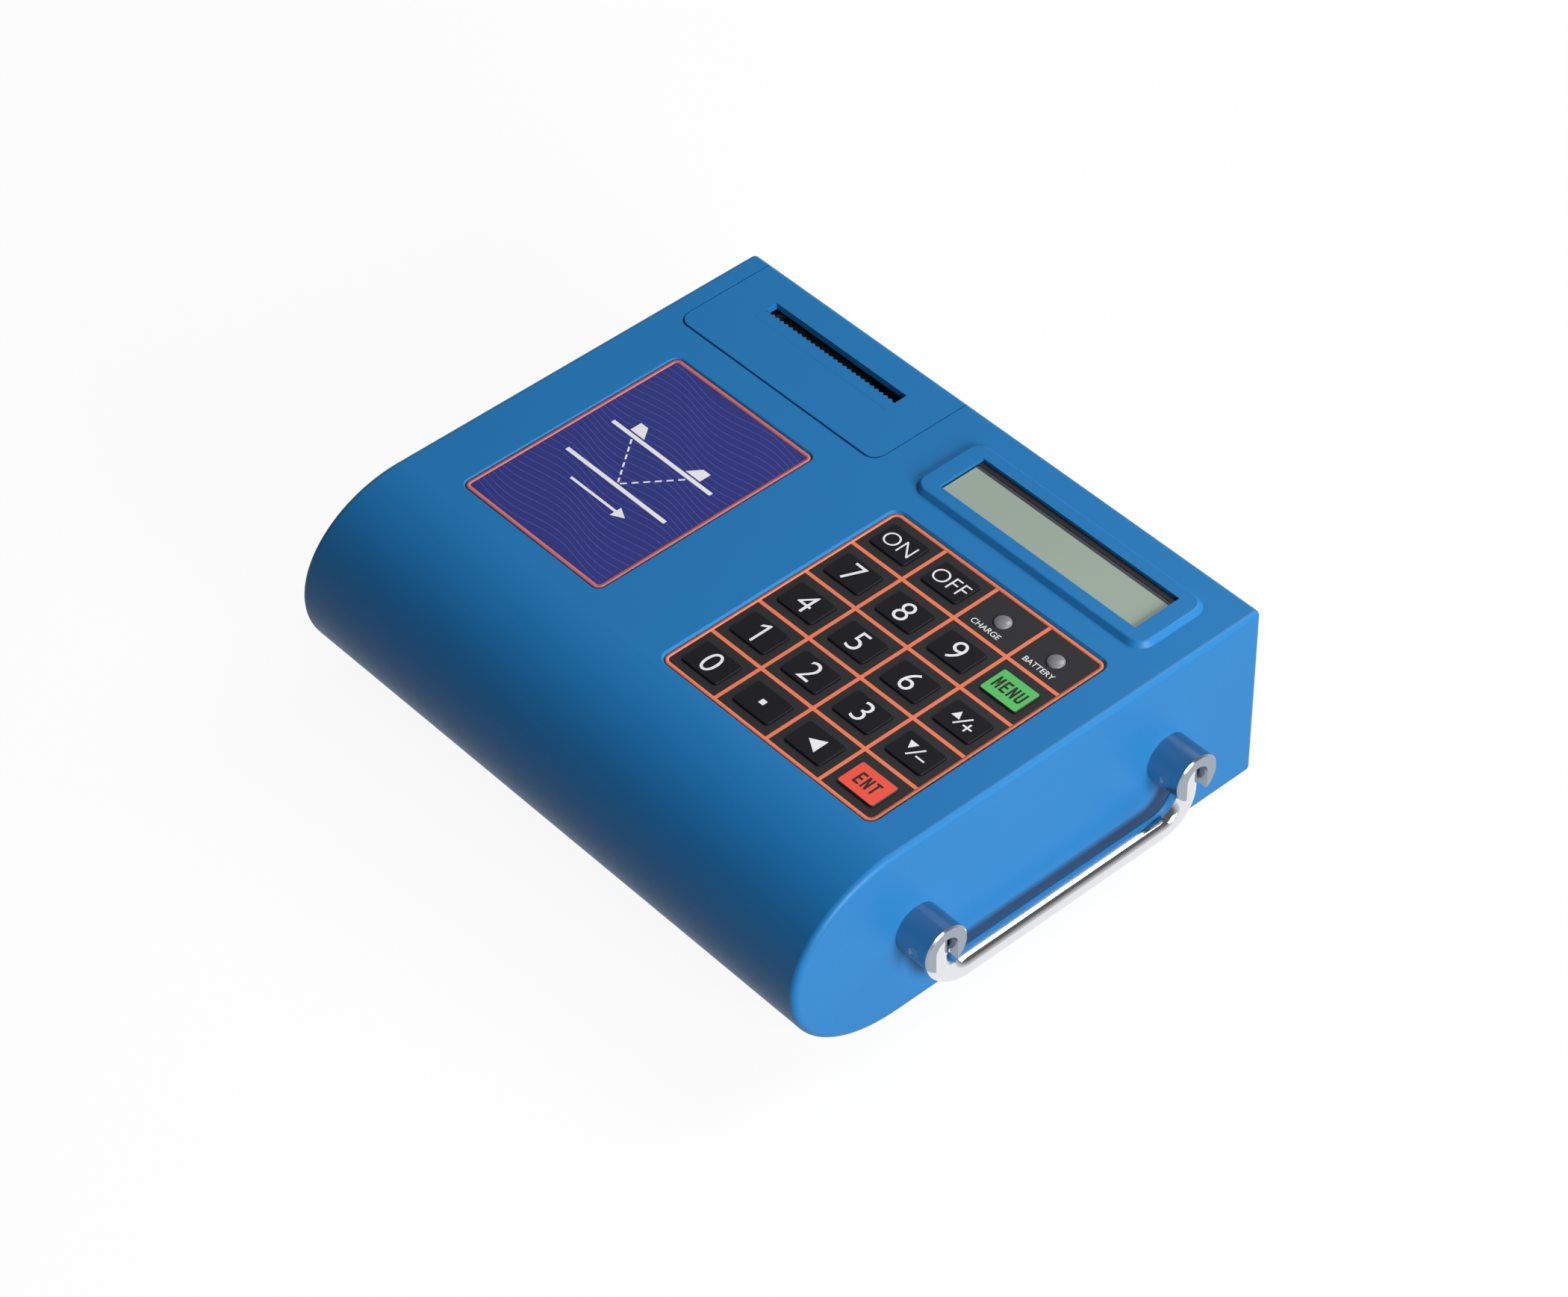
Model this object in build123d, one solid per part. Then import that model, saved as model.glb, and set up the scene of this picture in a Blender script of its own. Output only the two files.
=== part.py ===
from build123d import *
import os
from math import cos, radians, sin

# Portable ultrasonic flow meter with a keypad, a two-line display, a strip printer and a bail
# handle. Millimetres, +Z up, +X to the user's right, +Y to the back. While the pieces are made,
# x = 0 is the middle of the case, y = 0 its back face and z = 0 the table. At the end
# everything is shifted so that the origin lies under the middle of the whole outline.

# Case shell
wall = 2.5
nose_len = 40.0
edge_r = 2.0

# Layout across the width, from the left side to the right
left_margin = 8.1
printer_w = 91.4
middle_gap = 15.4
display_w = 100.0
right_margin = 11.4
keypad_right_margin = 14.6

# Layout along the depth, from the back face to the nose
back_margin = 9.8
display_d = 30.1
display_gap = 9.6
front_margin = 3.0
printer_d = 39.5
label_gap = 12.5

# Running and seating clearances
shaft_fit = 0.05
seat_fit = 0.25
door_gap = 0.35
door_front_gap = 0.8
press_gap = 0.02

# Bottom cover, its screws and the feet
cover_t = 2.5
cover_inset = 6.0
ledge_w = 4.0
ledge_t = 2.0
cover_corner = 4.0
pillar_r = 3.6
pillar_inset = 12.0
pillar_gap = 8.0
screw_r = 1.5
screw_head_r = 2.9
screw_head_h = 1.6
screw_len = 10.0
screw_end_gap = 1.0
head_slot_w = 0.8
head_slot_deep = 0.8
foot_r = 7.0
foot_h = 2.0
foot_inset = 20.0

# Small screws of the boards and of the printer's frame
small_screw_r = 0.95
small_head_r = 1.8
small_head_h = 1.2
small_bite = 2.5
frame_bite = 3.5
pilot_r = 1.0
pilot_end_gap = 0.5
clear_r = 1.1

# Keypad: a membrane in a shallow recess, with a raised pad for each key
key_pitch_x = 22.6
key_pitch_y = 18.75
key_columns = 4
key_rows = 5
keypad_edge = 0.5
keypad_corner = 3.0
keypad_sink = 0.7
sheet_t = 0.5
base_t = 0.6
backing_t = 2.0
backing_rim = 4.0
recess_flare = 0.7
key_w = 15.5
key_d = 11.0
key_corner = 1.2
key_rise = 0.6
key_flange = 0.9
key_flange_t = 0.3
key_travel = 0.4
key_fit = 0.12
dome_r = 4.5
dome_h = 0.45
dome_gap = 0.05

# Indicator lamps in the two cells without a key
led_r = 2.9
led_flange_r = 3.4
led_flange_t = 1.0
led_len = 8.9
led_rise = 1.0
led_board_t = 1.6
led_board_w = 36.0
led_board_d = 12.0

# Label plate
label_w = 64.0
label_d = 87.0
label_t = 0.8
label_sink = 0.4
label_corner = 2.5

# Display: a raised bezel on the case over a two-line character module
plateau_h = 1.8
plateau_corner = 6.0
plateau_slope = 1.4
plateau_round = 0.8
window_end_margin = 7.75
window_side_margin = 5.8
bezel_lip = 0.7
bezel_rim = 5.0
bezel_h = 6.0
bezel_t = 0.4
bezel_sink = 1.0
bezel_corner = 0.5
module_board_t = 1.6
module_corner = 1.0
driver_side = 12.0
driver_t = 1.5
module_end_margin = 6.0
module_side_margin = 3.8
module_boss_r = 2.4

# Printer door: top plate and back flap in one piece, hinged low on the back
door_t = 2.5
door_corner = 4.5
door_lip_w = 2.0
door_lip_t = 1.5
door_sill = 5.4
door_frame_gap = 0.5
hinge_knuckle_r = 3.5
hinge_pin_r = 1.0
hinge_lug_w = 4.8
hinge_lug_end = 1.0
slot_w = 60.5
slot_d = 4.8
slot_back = 11.8
tear_depth = 4.0
tear_t = 0.9
tear_fit = 0.04
tear_tooth_h = 0.8
tear_tooth_pitch = 2.1

# Printer mechanism
paper_w = 57.0
paper_side_gap = 1.5
paper_gap = 0.15
frame_t = 1.5
frame_top_drop = 5.0
frame_back = 5.0
platen_r = 5.0
platen_shaft_r = 2.0
platen_drop = 13.0
platen_shaft_end = 1.5
head_t = 3.2
head_h = 14.0
head_strip_t = 0.6
head_strip_h = 6.0
head_fins = 5
head_fin_deep = 1.2
head_fin_margin = 3.0
gear_module = 0.8
platen_teeth = 13
idler_teeth = 16
pinion_teeth = 10
idler_angle = 217.5
pinion_angle = 135.0
gear_t = 3.0
gear_gap = 0.5
idler_axle_r = 1.5
motor_r = 6.5
motor_len = 14.0
motor_shaft_r = 0.75
motor_edge = 1.0
roll_r = 15.0
roll_core_r = 6.2
roll_clear = 2.0
roll_back = 8.0
roll_front_gap = 4.0
roll_floor_gap = 1.0
spindle_end = 1.0

# Handle: a bail on two slotted posts
post_r = 8.25
post_root = 3.2
post_nose = 5.5
post_back = 38.0
post_spacing = 101.6
post_drop = 35.0
post_stud_r = 3.0
post_nut_t = 5.0
post_nut_r = 5.8
post_stud_end = 1.0
post_edge = 0.5
bail_rod_r = 3.8
bail_slot_gap = 0.45
bail_drop = 18.0
bail_bend_r = 11.0
bail_pin_r = 2.0
bail_pin_sink = 0.3

# Sockets on the back
socket_drop = 37.0
sensor_socket_r = 6.0
sensor_bore_r = 4.7
sensor_bore_depth = 5.0
sensor_socket_len = 9.0
sensor_flange_r = 8.0
sensor_flange_t = 1.5
sensor_socket_inner = 9.0
sensor_nut_t = 2.5
sensor_pitch = 24.0
sensor_edge = 0.4
contact_r = 0.6
contact_ring_r = 2.0
contact_deep = 3.0
nut_rim = 2.5
serial_w = 17.0
serial_d = 8.4
serial_len = 6.0
serial_inner = 6.0
serial_slant = 10
serial_corner = 1.5
serial_hole_margin = 3.0
serial_pin_r = 0.5
serial_pin_deep = 4.0
serial_pin_step = 2.77
serial_row_gap = 2.84
serial_post_r = 2.9
serial_post_drop = 0.5
serial_plate_w = 31.0
serial_plate_d = 12.6
serial_plate_t = 1.0
serial_screw_pitch = 25.0
serial_screw_r = 1.3
jack_r = 4.0
jack_flange_r = 5.5
jack_bore_r = 2.8
jack_pin_r = 1.05
jack_bore_depth = 9.0
jack_mouth = 1.5
jack_pin_drop = 1.0
socket_margin = 10.65
jack_gap = 4.75
socket_gap = 13.0

# Electronics and battery
board_t = 1.6
board_side_gap = 5.0
board_w = 84.0
board_d = 80.0
standoff_r = 2.8
standoff_h = 6.0
upper_standoff_h = 14.0
upper_board_d = 50.0
board_corner_inset = 5.0
board_corner = 1.5
chip_side = 14.0
chip_t = 1.8
port_chip_w = 18.0
port_chip_d = 8.0
power_coil_w = 12.0
power_coil_d = 16.0
power_coil_h = 9.0
pulse_coil_side = 16.0
pulse_coil_h = 10.0
relay_w = 10.0
relay_d = 18.0
relay_h = 4.0
cell_r = 8.5
cell_len = 66.0
cell_count = 4
cell_gap = 0.5
cell_cap_r = 3.0
cell_cap_h = 1.5
tray_t = 1.5
tray_corner = 2.0
buzzer_r = 6.0
buzzer_h = 8.0
buzzer_hole_r = 1.2
buzzer_hole_deep = 2.0

# Values that follow from the ones above
case_w = left_margin + printer_w + middle_gap + display_w + right_margin
keypad_w = key_columns * key_pitch_x + 2 * keypad_edge
keypad_d = key_rows * key_pitch_y + 2 * keypad_edge
flat_len = back_margin + display_d + display_gap + keypad_d + front_margin
case_d = flat_len + nose_len
right_x = case_w / 2
left_x = -right_x

# The printer's stack, from the top of the case down to the door's hinge, sets the case height
idler_dist = gear_module * (platen_teeth + idler_teeth) / 2
pinion_dist = gear_module * (idler_teeth + pinion_teeth) / 2
pinion_drop = (platen_drop - idler_dist * sin(radians(idler_angle))
               - pinion_dist * sin(radians(pinion_angle)))
roll_drop = pinion_drop + motor_r + roll_clear + roll_r
frame_drop = roll_drop + roll_r + roll_floor_gap + frame_t
door_hinge_drop = frame_drop + door_frame_gap + hinge_knuckle_r
case_h = door_hinge_drop + hinge_knuckle_r + door_gap + door_sill
floor_z = foot_h
top_z = floor_z + case_h
mid_z = floor_z + case_h / 2

keypad_x = right_x - keypad_right_margin - keypad_w / 2
keypad_y = -(back_margin + display_d + display_gap + keypad_d / 2)
sheet_top = top_z - keypad_sink
sheet_bottom = sheet_top - sheet_t
spacer_t = key_flange_t + key_travel + dome_gap + dome_h
spacer_bottom = sheet_bottom - spacer_t
recess_floor = spacer_bottom - base_t
backing_bottom = recess_floor - backing_t

display_x = right_x - right_margin - display_w / 2
display_y = -(back_margin + display_d / 2)
window_w = display_w - 2 * window_end_margin
window_d = display_d - 2 * window_side_margin
bezel_w = window_w + 2 * bezel_rim
bezel_d = window_d + 2 * bezel_rim
bezel_top = top_z - wall + bezel_sink
bezel_bottom = bezel_top - bezel_h
module_w = bezel_w + 2 * module_end_margin
module_d = bezel_d + 2 * module_side_margin

printer_x = left_x + left_margin + printer_w / 2
label_x = printer_x
door_hinge_y = -hinge_knuckle_r
door_hinge_z = top_z - door_hinge_drop
slot_y = -(slot_back + slot_d / 2)
slot_front_y = slot_y - slot_d / 2
tear_root_y = slot_front_y - tear_tooth_h / 2
tear_tip_y = slot_front_y + tear_tooth_h / 2
label_y = -(printer_d + label_gap + label_d / 2)

frame_in = paper_w / 2 + paper_side_gap
frame_out = frame_in + frame_t
platen_y = slot_y + platen_r + paper_gap / 2
platen_z = top_z - platen_drop
gear_x = printer_x + frame_out + gear_gap
idler_y = platen_y + idler_dist * cos(radians(idler_angle))
idler_z = platen_z + idler_dist * sin(radians(idler_angle))
pinion_y = idler_y + pinion_dist * cos(radians(pinion_angle))
pinion_z = top_z - pinion_drop
roll_y = -(roll_back + roll_r)
roll_z = top_z - roll_drop
frame_front_y = roll_y - roll_r - roll_front_gap - frame_t
frame_bottom = top_z - frame_drop

hinge_x = right_x + post_root + bail_slot_gap + bail_rod_r
hinge_z = top_z - post_drop
post_end_x = hinge_x + post_nose
post_ys = [-post_back, -(post_back + post_spacing)]

pillar_xs = [left_x + wall + pillar_inset, 0.0, right_x - wall - pillar_inset]
pillar_ys = [frame_front_y - pillar_gap, -(flat_len - pillar_r)]
ledge_z = floor_z + cover_t

board_x = right_x - wall - pillar_inset - pillar_r - board_side_gap - board_w / 2
board_y = (pillar_ys[0] + pillar_ys[1]) / 2
board_z = ledge_z + standoff_h
upper_board_z = board_z + board_t + upper_standoff_h
upper_board_y = board_y + (board_d - upper_board_d) / 2
tray_w = cell_len + 2 * (tray_t + cell_gap)
tray_d = cell_count * 2 * cell_r + (cell_count + 1) * cell_gap + 2 * tray_t
tray_x = pillar_xs[0] + pillar_r + board_side_gap + tray_w / 2

socket_z = top_z - socket_drop
jack_x = right_x - wall - socket_margin
serial_x = jack_x - jack_flange_r - jack_gap - serial_plate_w / 2
sensor_right_x = serial_x - serial_plate_w / 2 - socket_gap - sensor_flange_r
sensor_xs = [sensor_right_x - sensor_pitch, sensor_right_x]

key_names = [
    ["key_on", "key_off", None, None],
    ["key_7", "key_8", "key_9", "key_menu"],
    ["key_4", "key_5", "key_6", "key_up_plus"],
    ["key_1", "key_2", "key_3", "key_down_minus"],
    ["key_0", "key_dot", "key_left", "key_enter"],
]


def block(x0, x1, y0, y1, z0, z1):
    """A box between two corners."""
    return Pos((x0 + x1) / 2, (y0 + y1) / 2, (z0 + z1) / 2) * Box(x1 - x0, y1 - y0, z1 - z0)


def slab(x, y, w, d, z0, z1, corner):
    """A plate with rounded corners, flat on z0."""
    return extrude(Pos(x, y, z0) * RectangleRounded(w, d, corner), z1 - z0)


def flared(x, y, w, d, z0, z1, corner, grow):
    """A rounded plate that widens by grow on every side between z0 and z1."""
    low = Pos(x, y, z0) * RectangleRounded(w, d, corner)
    high = Pos(x, y, z1) * RectangleRounded(w + 2 * grow, d + 2 * grow, corner + grow)
    return loft([low, high], ruled=True)


def rod_x(x0, x1, y, z, r):
    """A round bar along X."""
    return Pos((x0 + x1) / 2, y, z) * Rot(0, 90, 0) * Cylinder(r, x1 - x0)


def rod_y(x, y0, y1, z, r):
    """A round bar along Y."""
    return Pos(x, (y0 + y1) / 2, z) * Rot(90, 0, 0) * Cylinder(r, y1 - y0)


def rod_z(x, y, z0, z1, r):
    """A round bar along Z."""
    return Pos(x, y, (z0 + z1) / 2) * Cylinder(r, z1 - z0)


def hex_y(x, y0, y1, z, r):
    """A hexagonal bar along Y, r to its corners."""
    return extrude(Plane((x, y1, z), x_dir=(1, 0, 0), z_dir=(0, -1, 0)) * RegularPolygon(r, 6), y1 - y0)


def hex_x(x0, x1, y, z, r):
    """A hexagonal bar along X, r to its corners."""
    return extrude(Plane((x0, y, z), x_dir=(0, 1, 0), z_dir=(1, 0, 0)) * RegularPolygon(r, 6), x1 - x0)


def key_cell(column, row):
    """Middle of a cell of the key grid, with row 0 at the back."""
    x = keypad_x + (column - (key_columns - 1) / 2) * key_pitch_x
    y = keypad_y + ((key_rows - 1) / 2 - row) * key_pitch_y
    return x, y


def key_cells():
    """Name and place of every cell that holds a key."""
    cells = []
    for row, names in enumerate(key_names):
        for column, name in enumerate(names):
            if name:
                cells.append((name, *key_cell(column, row)))
    return cells


lamp_cells = [key_cell(2, 0), key_cell(3, 0)]


def case_profile(inset):
    """Side profile of the case: flat top, back and floor, and an elliptical nose."""
    length = flat_len - inset
    flat = Pos(-inset - length / 2, mid_z) * Rectangle(length, case_h - 2 * inset)
    nose = Pos(-flat_len, mid_z) * Ellipse(nose_len - inset, case_h / 2 - inset)
    return Plane.YZ * (flat + nose)


def case_shell():
    """The moulded shell without its openings: filleted outside, hollow, with a ledge below."""
    outer = extrude(case_profile(0), case_w / 2, both=True)
    ends = outer.faces().sort_by(Axis.X)
    back = outer.faces().sort_by(Axis.Y)[-1]
    edges = ends[0].edges() + ends[-1].edges() + back.edges().filter_by(Axis.X)
    outer = fillet(edges, edge_r)
    cavity = extrude(case_profile(wall), case_w / 2 - wall, both=True)
    above_ledge = block(left_x, right_x, -case_d, 0, ledge_z + ledge_t, top_z)
    return outer - (cavity & above_ledge)


def bottom_opening():
    """Cut for the bottom cover: the cover's seat and the smaller hole above it."""
    width = case_w - 2 * cover_inset
    depth = flat_len - cover_inset
    y = -cover_inset - depth / 2
    seat = slab(0, y, width, depth, floor_z, ledge_z, cover_corner)
    hole = slab(0, y, width - 2 * ledge_w, depth - 2 * ledge_w, ledge_z, ledge_z + ledge_t, cover_corner)
    return seat + hole


def display_plateau():
    """Raised bezel round the display window, with sloping sides and a soft top edge."""
    flat_w = display_w - 2 * plateau_slope
    flat_d = display_d - 2 * plateau_slope
    flat_corner = plateau_corner - plateau_slope
    rise = flared(display_x, display_y, flat_w, flat_d, top_z + plateau_h, top_z - wall,
                  flat_corner, plateau_slope * (plateau_h + wall) / plateau_h)
    skirt = slab(display_x, display_y, display_w, display_d, top_z - wall, top_z + plateau_h, plateau_corner)
    rise = rise & skirt
    top = rise.faces().sort_by(Axis.Z)[-1]
    return fillet(top.edges(), plateau_round)


def keypad_recess():
    """Pocket of the keypad in the case top, with a soft flared mouth."""
    width = keypad_w + 2 * seat_fit
    depth = keypad_d + 2 * seat_fit
    corner = keypad_corner + seat_fit
    pocket = slab(keypad_x, keypad_y, width, depth, recess_floor, top_z, corner)
    mouth = flared(keypad_x, keypad_y, width, depth, sheet_top, top_z, corner, recess_flare)
    return pocket + mouth


def label_recess():
    """Pocket of the label plate in the case top."""
    width = label_w + 2 * seat_fit
    depth = label_d + 2 * seat_fit
    corner = label_corner + seat_fit
    floor = top_z - label_sink - label_t
    pocket = slab(label_x, label_y, width, depth, floor, top_z, corner)
    mouth = flared(label_x, label_y, width, depth, top_z - label_sink, top_z, corner, label_sink)
    return pocket + mouth


def door_outline(grow_side, grow_front, z0, z1):
    """Plan shape of the printer door, with rounded front corners, cut square at the back."""
    width = printer_w + 2 * grow_side
    depth = printer_d + grow_front
    corner = door_corner + grow_side
    rounded = slab(printer_x, (corner - depth) / 2, width, depth + corner, z0, z1, corner)
    return rounded & block(printer_x - width / 2, printer_x + width / 2, -depth, 0, z0, z1)


def door_opening():
    """Cut in the case for the printer door: the door's room, then a smaller hole inside."""
    half = printer_w / 2 + door_gap
    low = door_hinge_z - hinge_knuckle_r - door_gap
    depth = door_t + door_gap
    top_room = door_outline(door_gap, door_front_gap, top_z - depth, top_z)
    back_room = block(printer_x - half, printer_x + half, -depth, 0, low, top_z)
    inner = half - door_lip_w
    front = -(printer_d + door_front_gap - door_lip_w)
    hole = block(printer_x - inner, printer_x + inner, front, 0, door_hinge_z, top_z)
    knuckle_room = rod_x(printer_x - half, printer_x + half, door_hinge_y, door_hinge_z,
                         hinge_knuckle_r + door_gap)
    return top_room + back_room + hole + knuckle_room


def door_lips():
    """Stock of the lip that the closed door lies on, inside the top and the back wall."""
    half = printer_w / 2 + door_gap + door_lip_w
    depth = door_t + door_gap + door_lip_t
    front = -(printer_d + door_front_gap + door_lip_w)
    top = block(printer_x - half, printer_x + half, front, -wall, top_z - depth, top_z - wall)
    back = block(printer_x - half, printer_x + half, -depth, -wall, door_hinge_z, top_z - wall)
    return top + back


def hinge_lug(side):
    """Block on the back wall that carries one end of the door's hinge pin."""
    inner = printer_x + side * (printer_w / 2 + door_gap)
    outer = inner + side * hinge_lug_w
    reach = hinge_knuckle_r + door_gap
    return block(min(inner, outer), max(inner, outer), door_hinge_y - reach, -wall,
                 door_hinge_z - reach, door_hinge_z + reach)


def module_bosses():
    """Bosses in the case top that the display's board is screwed to."""
    bosses = []
    for x in module_screw_xs():
        for y in module_screw_ys():
            bosses.append(rod_z(x, y, bezel_bottom, top_z - wall, module_boss_r))
    return bosses


def module_screw_xs():
    """Screw columns at the two ends of the display's board."""
    reach = bezel_w / 2 + module_end_margin / 2
    return [display_x - reach, display_x + reach]


def module_screw_ys():
    """Screw rows of the display's board."""
    reach = bezel_d / 2 + module_side_margin - module_boss_r
    return [display_y - reach, display_y + reach]


def led_board_z():
    """Top of the small board that carries the two lamps."""
    return sheet_top + led_rise - led_len


def led_board_x():
    """Middle of the lamp board, between the two lamps."""
    return (lamp_cells[0][0] + lamp_cells[1][0]) / 2


def led_boss_ys():
    """The lamp board's two screws lie before and behind its middle."""
    y = lamp_cells[0][1]
    reach = led_board_d / 2 - module_boss_r
    return [y - reach, y + reach]


def main_case():
    """Shell with every opening, recess, boss and lug."""
    body = case_shell()
    body += display_plateau()
    body += slab(keypad_x, keypad_y, keypad_w + 2 * backing_rim, keypad_d + 2 * backing_rim,
                 backing_bottom, top_z - wall, keypad_corner)
    for x in pillar_xs:
        for y in pillar_ys:
            body += rod_z(x, y, ledge_z, top_z - wall, pillar_r)
    body += door_lips()
    body += hinge_lug(-1)
    body += hinge_lug(1)
    body += module_bosses()
    for y in led_boss_ys():
        body += rod_z(led_board_x(), y, led_board_z(), backing_bottom, module_boss_r)
    body -= bottom_opening()
    body -= keypad_recess()
    body -= label_recess()
    body -= door_opening()
    body -= case_holes()
    return body


def case_holes():
    """Window, lamp holes, screw pilots, post holes and socket cut-outs."""
    cuts = block(display_x - window_w / 2, display_x + window_w / 2, display_y - window_d / 2,
                 display_y + window_d / 2, top_z - wall, top_z + plateau_h)
    cuts += slab(display_x, display_y, bezel_w + 2 * seat_fit, bezel_d + 2 * seat_fit,
                 top_z - wall, bezel_top, seat_fit + bezel_corner)
    for x, y in lamp_cells:
        cuts += rod_z(x, y, backing_bottom, recess_floor, led_r + seat_fit)
    for x in pillar_xs:
        for y in pillar_ys:
            cuts += rod_z(x, y, ledge_z, floor_z + screw_len + screw_end_gap, screw_r + press_gap)
    for x in module_screw_xs():
        for y in module_screw_ys():
            cuts += rod_z(x, y, bezel_bottom, bezel_bottom + small_bite + pilot_end_gap, pilot_r)
    for y in led_boss_ys():
        cuts += rod_z(led_board_x(), y, led_board_z(), led_board_z() + small_bite + pilot_end_gap, pilot_r)
    for y in post_ys:
        cuts += rod_x(right_x - wall, right_x, y, hinge_z, post_stud_r + seat_fit)
    for side in (-1, 1):
        start = printer_x + side * (printer_w / 2 + door_gap)
        end = start + side * (hinge_lug_w - hinge_lug_end)
        cuts += rod_x(min(start, end), max(start, end), door_hinge_y, door_hinge_z, hinge_pin_r + press_gap)
    for x in sensor_xs:
        cuts += rod_y(x, -wall, 0, socket_z, sensor_socket_r + seat_fit)
    serial_half = serial_plate_w / 2 - serial_hole_margin
    cuts += block(serial_x - serial_half, serial_x + serial_half, -wall, 0,
                  socket_z - serial_d / 2 - seat_fit, socket_z + serial_d / 2 + seat_fit)
    cuts += rod_y(jack_x, -wall, 0, socket_z, jack_r + seat_fit)
    return cuts


def cover_screw_places():
    """Where the bottom cover is screwed to the case's pillars."""
    return [(x, y) for x in pillar_xs for y in pillar_ys]


def frame_post_places():
    """Posts of the bottom cover under the printer frame."""
    reach = frame_in - 2 * pillar_r
    ys = [frame_front_y + frame_t + pillar_r, roll_y + roll_r / 2]
    return [(printer_x + side * reach, y) for side in (-1, 1) for y in ys]


def board_places():
    """Standoff places of the lower board."""
    reach_x = board_w / 2 - board_corner_inset
    reach_y = board_d / 2 - board_corner_inset
    return [(board_x + i * reach_x, board_y + j * reach_y) for i in (-1, 1) for j in (-1, 1)]


def upper_board_places():
    """Standoff places of the upper board."""
    reach_x = board_w / 2 - board_corner_inset
    reach_y = upper_board_d / 2 - board_corner_inset
    return [(board_x + i * reach_x, upper_board_y + j * reach_y) for i in (-1, 1) for j in (-1, 1)]


def foot_places():
    """Places of the four feet."""
    x = case_w / 2 - foot_inset
    return [(i * x, y) for i in (-1, 1) for y in (-foot_inset, -(flat_len - foot_inset))]


def bottom_cover():
    """Flat plate in its seat, with countersunk screw holes and the printer's posts."""
    width = case_w - 2 * (cover_inset + seat_fit)
    depth = flat_len - cover_inset - 2 * seat_fit
    y = -cover_inset - seat_fit - depth / 2
    plate = slab(0, y, width, depth, floor_z, ledge_z, cover_corner - seat_fit)
    for x, y in frame_post_places():
        plate += rod_z(x, y, ledge_z, frame_bottom, pillar_r)
        plate -= rod_z(x, y, frame_bottom - frame_bite - pilot_end_gap, frame_bottom, pilot_r)
    for x, y in cover_screw_places():
        plate -= rod_z(x, y, floor_z, ledge_z, screw_r + seat_fit)
        plate -= rod_z(x, y, floor_z, floor_z + screw_head_h, screw_head_r + seat_fit)
    return plate


def cover_screws():
    """Six screws of the bottom cover, with a slot in each head."""
    screws = []
    for x, y in cover_screw_places():
        head = rod_z(x, y, floor_z, floor_z + screw_head_h, screw_head_r)
        head -= block(x - screw_head_r, x + screw_head_r, y - head_slot_w / 2, y + head_slot_w / 2,
                      floor_z, floor_z + head_slot_deep)
        screws.append(head + rod_z(x, y, floor_z + screw_head_h, floor_z + screw_len, screw_r))
    return screws


def rubber_feet():
    """Four round feet with a softened lower edge."""
    feet = []
    for x, y in foot_places():
        foot = rod_z(x, y, 0, floor_z, foot_r)
        feet.append(chamfer(foot.edges().sort_by(Axis.Z)[0], foot_h / 4))
    return feet


def keypad_base():
    """Lower film of the keypad."""
    film = slab(keypad_x, keypad_y, keypad_w, keypad_d, recess_floor, spacer_bottom, keypad_corner)
    for x, y in lamp_cells:
        film -= rod_z(x, y, recess_floor, spacer_bottom, led_r + seat_fit)
    return film


def keypad_overlay():
    """Printed sheet on its spacer, with a window and a room below it for every key."""
    sheet = slab(keypad_x, keypad_y, keypad_w, keypad_d, spacer_bottom, sheet_top, keypad_corner)
    room_w = key_w + 2 * (key_flange + seat_fit)
    room_d = key_d + 2 * (key_flange + seat_fit)
    for name, x, y in key_cells():
        sheet -= slab(x, y, room_w, room_d, spacer_bottom, sheet_bottom, key_corner)
        sheet -= slab(x, y, key_w + 2 * key_fit, key_d + 2 * key_fit, sheet_bottom, sheet_top,
                      key_corner + key_fit)
    for x, y in lamp_cells:
        sheet -= rod_z(x, y, spacer_bottom, sheet_top, led_r + seat_fit)
    return sheet


def key(x, y):
    """One key: a raised pad that shows through the sheet, and the flange that holds it."""
    pad = slab(x, y, key_w, key_d, sheet_bottom, sheet_top + key_rise, key_corner)
    pad = fillet(pad.faces().sort_by(Axis.Z)[-1].edges(), key_rise / 2)
    flange = slab(x, y, key_w + 2 * key_flange, key_d + 2 * key_flange, sheet_bottom - key_flange_t,
                  sheet_bottom, key_corner)
    return pad + flange


def contact_domes():
    """A shallow snap dome under every key."""
    ball_r = (dome_r ** 2 + dome_h ** 2) / (2 * dome_h)
    ball = Pos(0, 0, dome_h - ball_r) * Sphere(ball_r)
    cap = ball & rod_z(0, 0, 0, dome_h, dome_r)
    return [Pos(x, y, spacer_bottom) * cap for name, x, y in key_cells()]


def lamp(x, y):
    """A domed indicator lamp on its flange."""
    foot = led_board_z()
    dome_z = foot + led_len - led_r
    body = rod_z(x, y, foot, dome_z, led_r) + Pos(x, y, dome_z) * Sphere(led_r)
    return body + rod_z(x, y, foot, foot + led_flange_t, led_flange_r)


def led_board():
    """Small board that carries the two lamps."""
    y = lamp_cells[0][1]
    z = led_board_z()
    board = slab(led_board_x(), y, led_board_w, led_board_d, z - led_board_t, z, board_corner)
    for screw_y in led_boss_ys():
        board -= rod_z(led_board_x(), screw_y, z - led_board_t, z, clear_r)
    return board


def label_plate():
    """Printed plate on the left of the case top."""
    floor = top_z - label_sink - label_t
    plate = slab(label_x, label_y, label_w, label_d, floor, floor + label_t, label_corner)
    return chamfer(plate.faces().sort_by(Axis.Z)[-1].edges(), label_t / 8)


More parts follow.
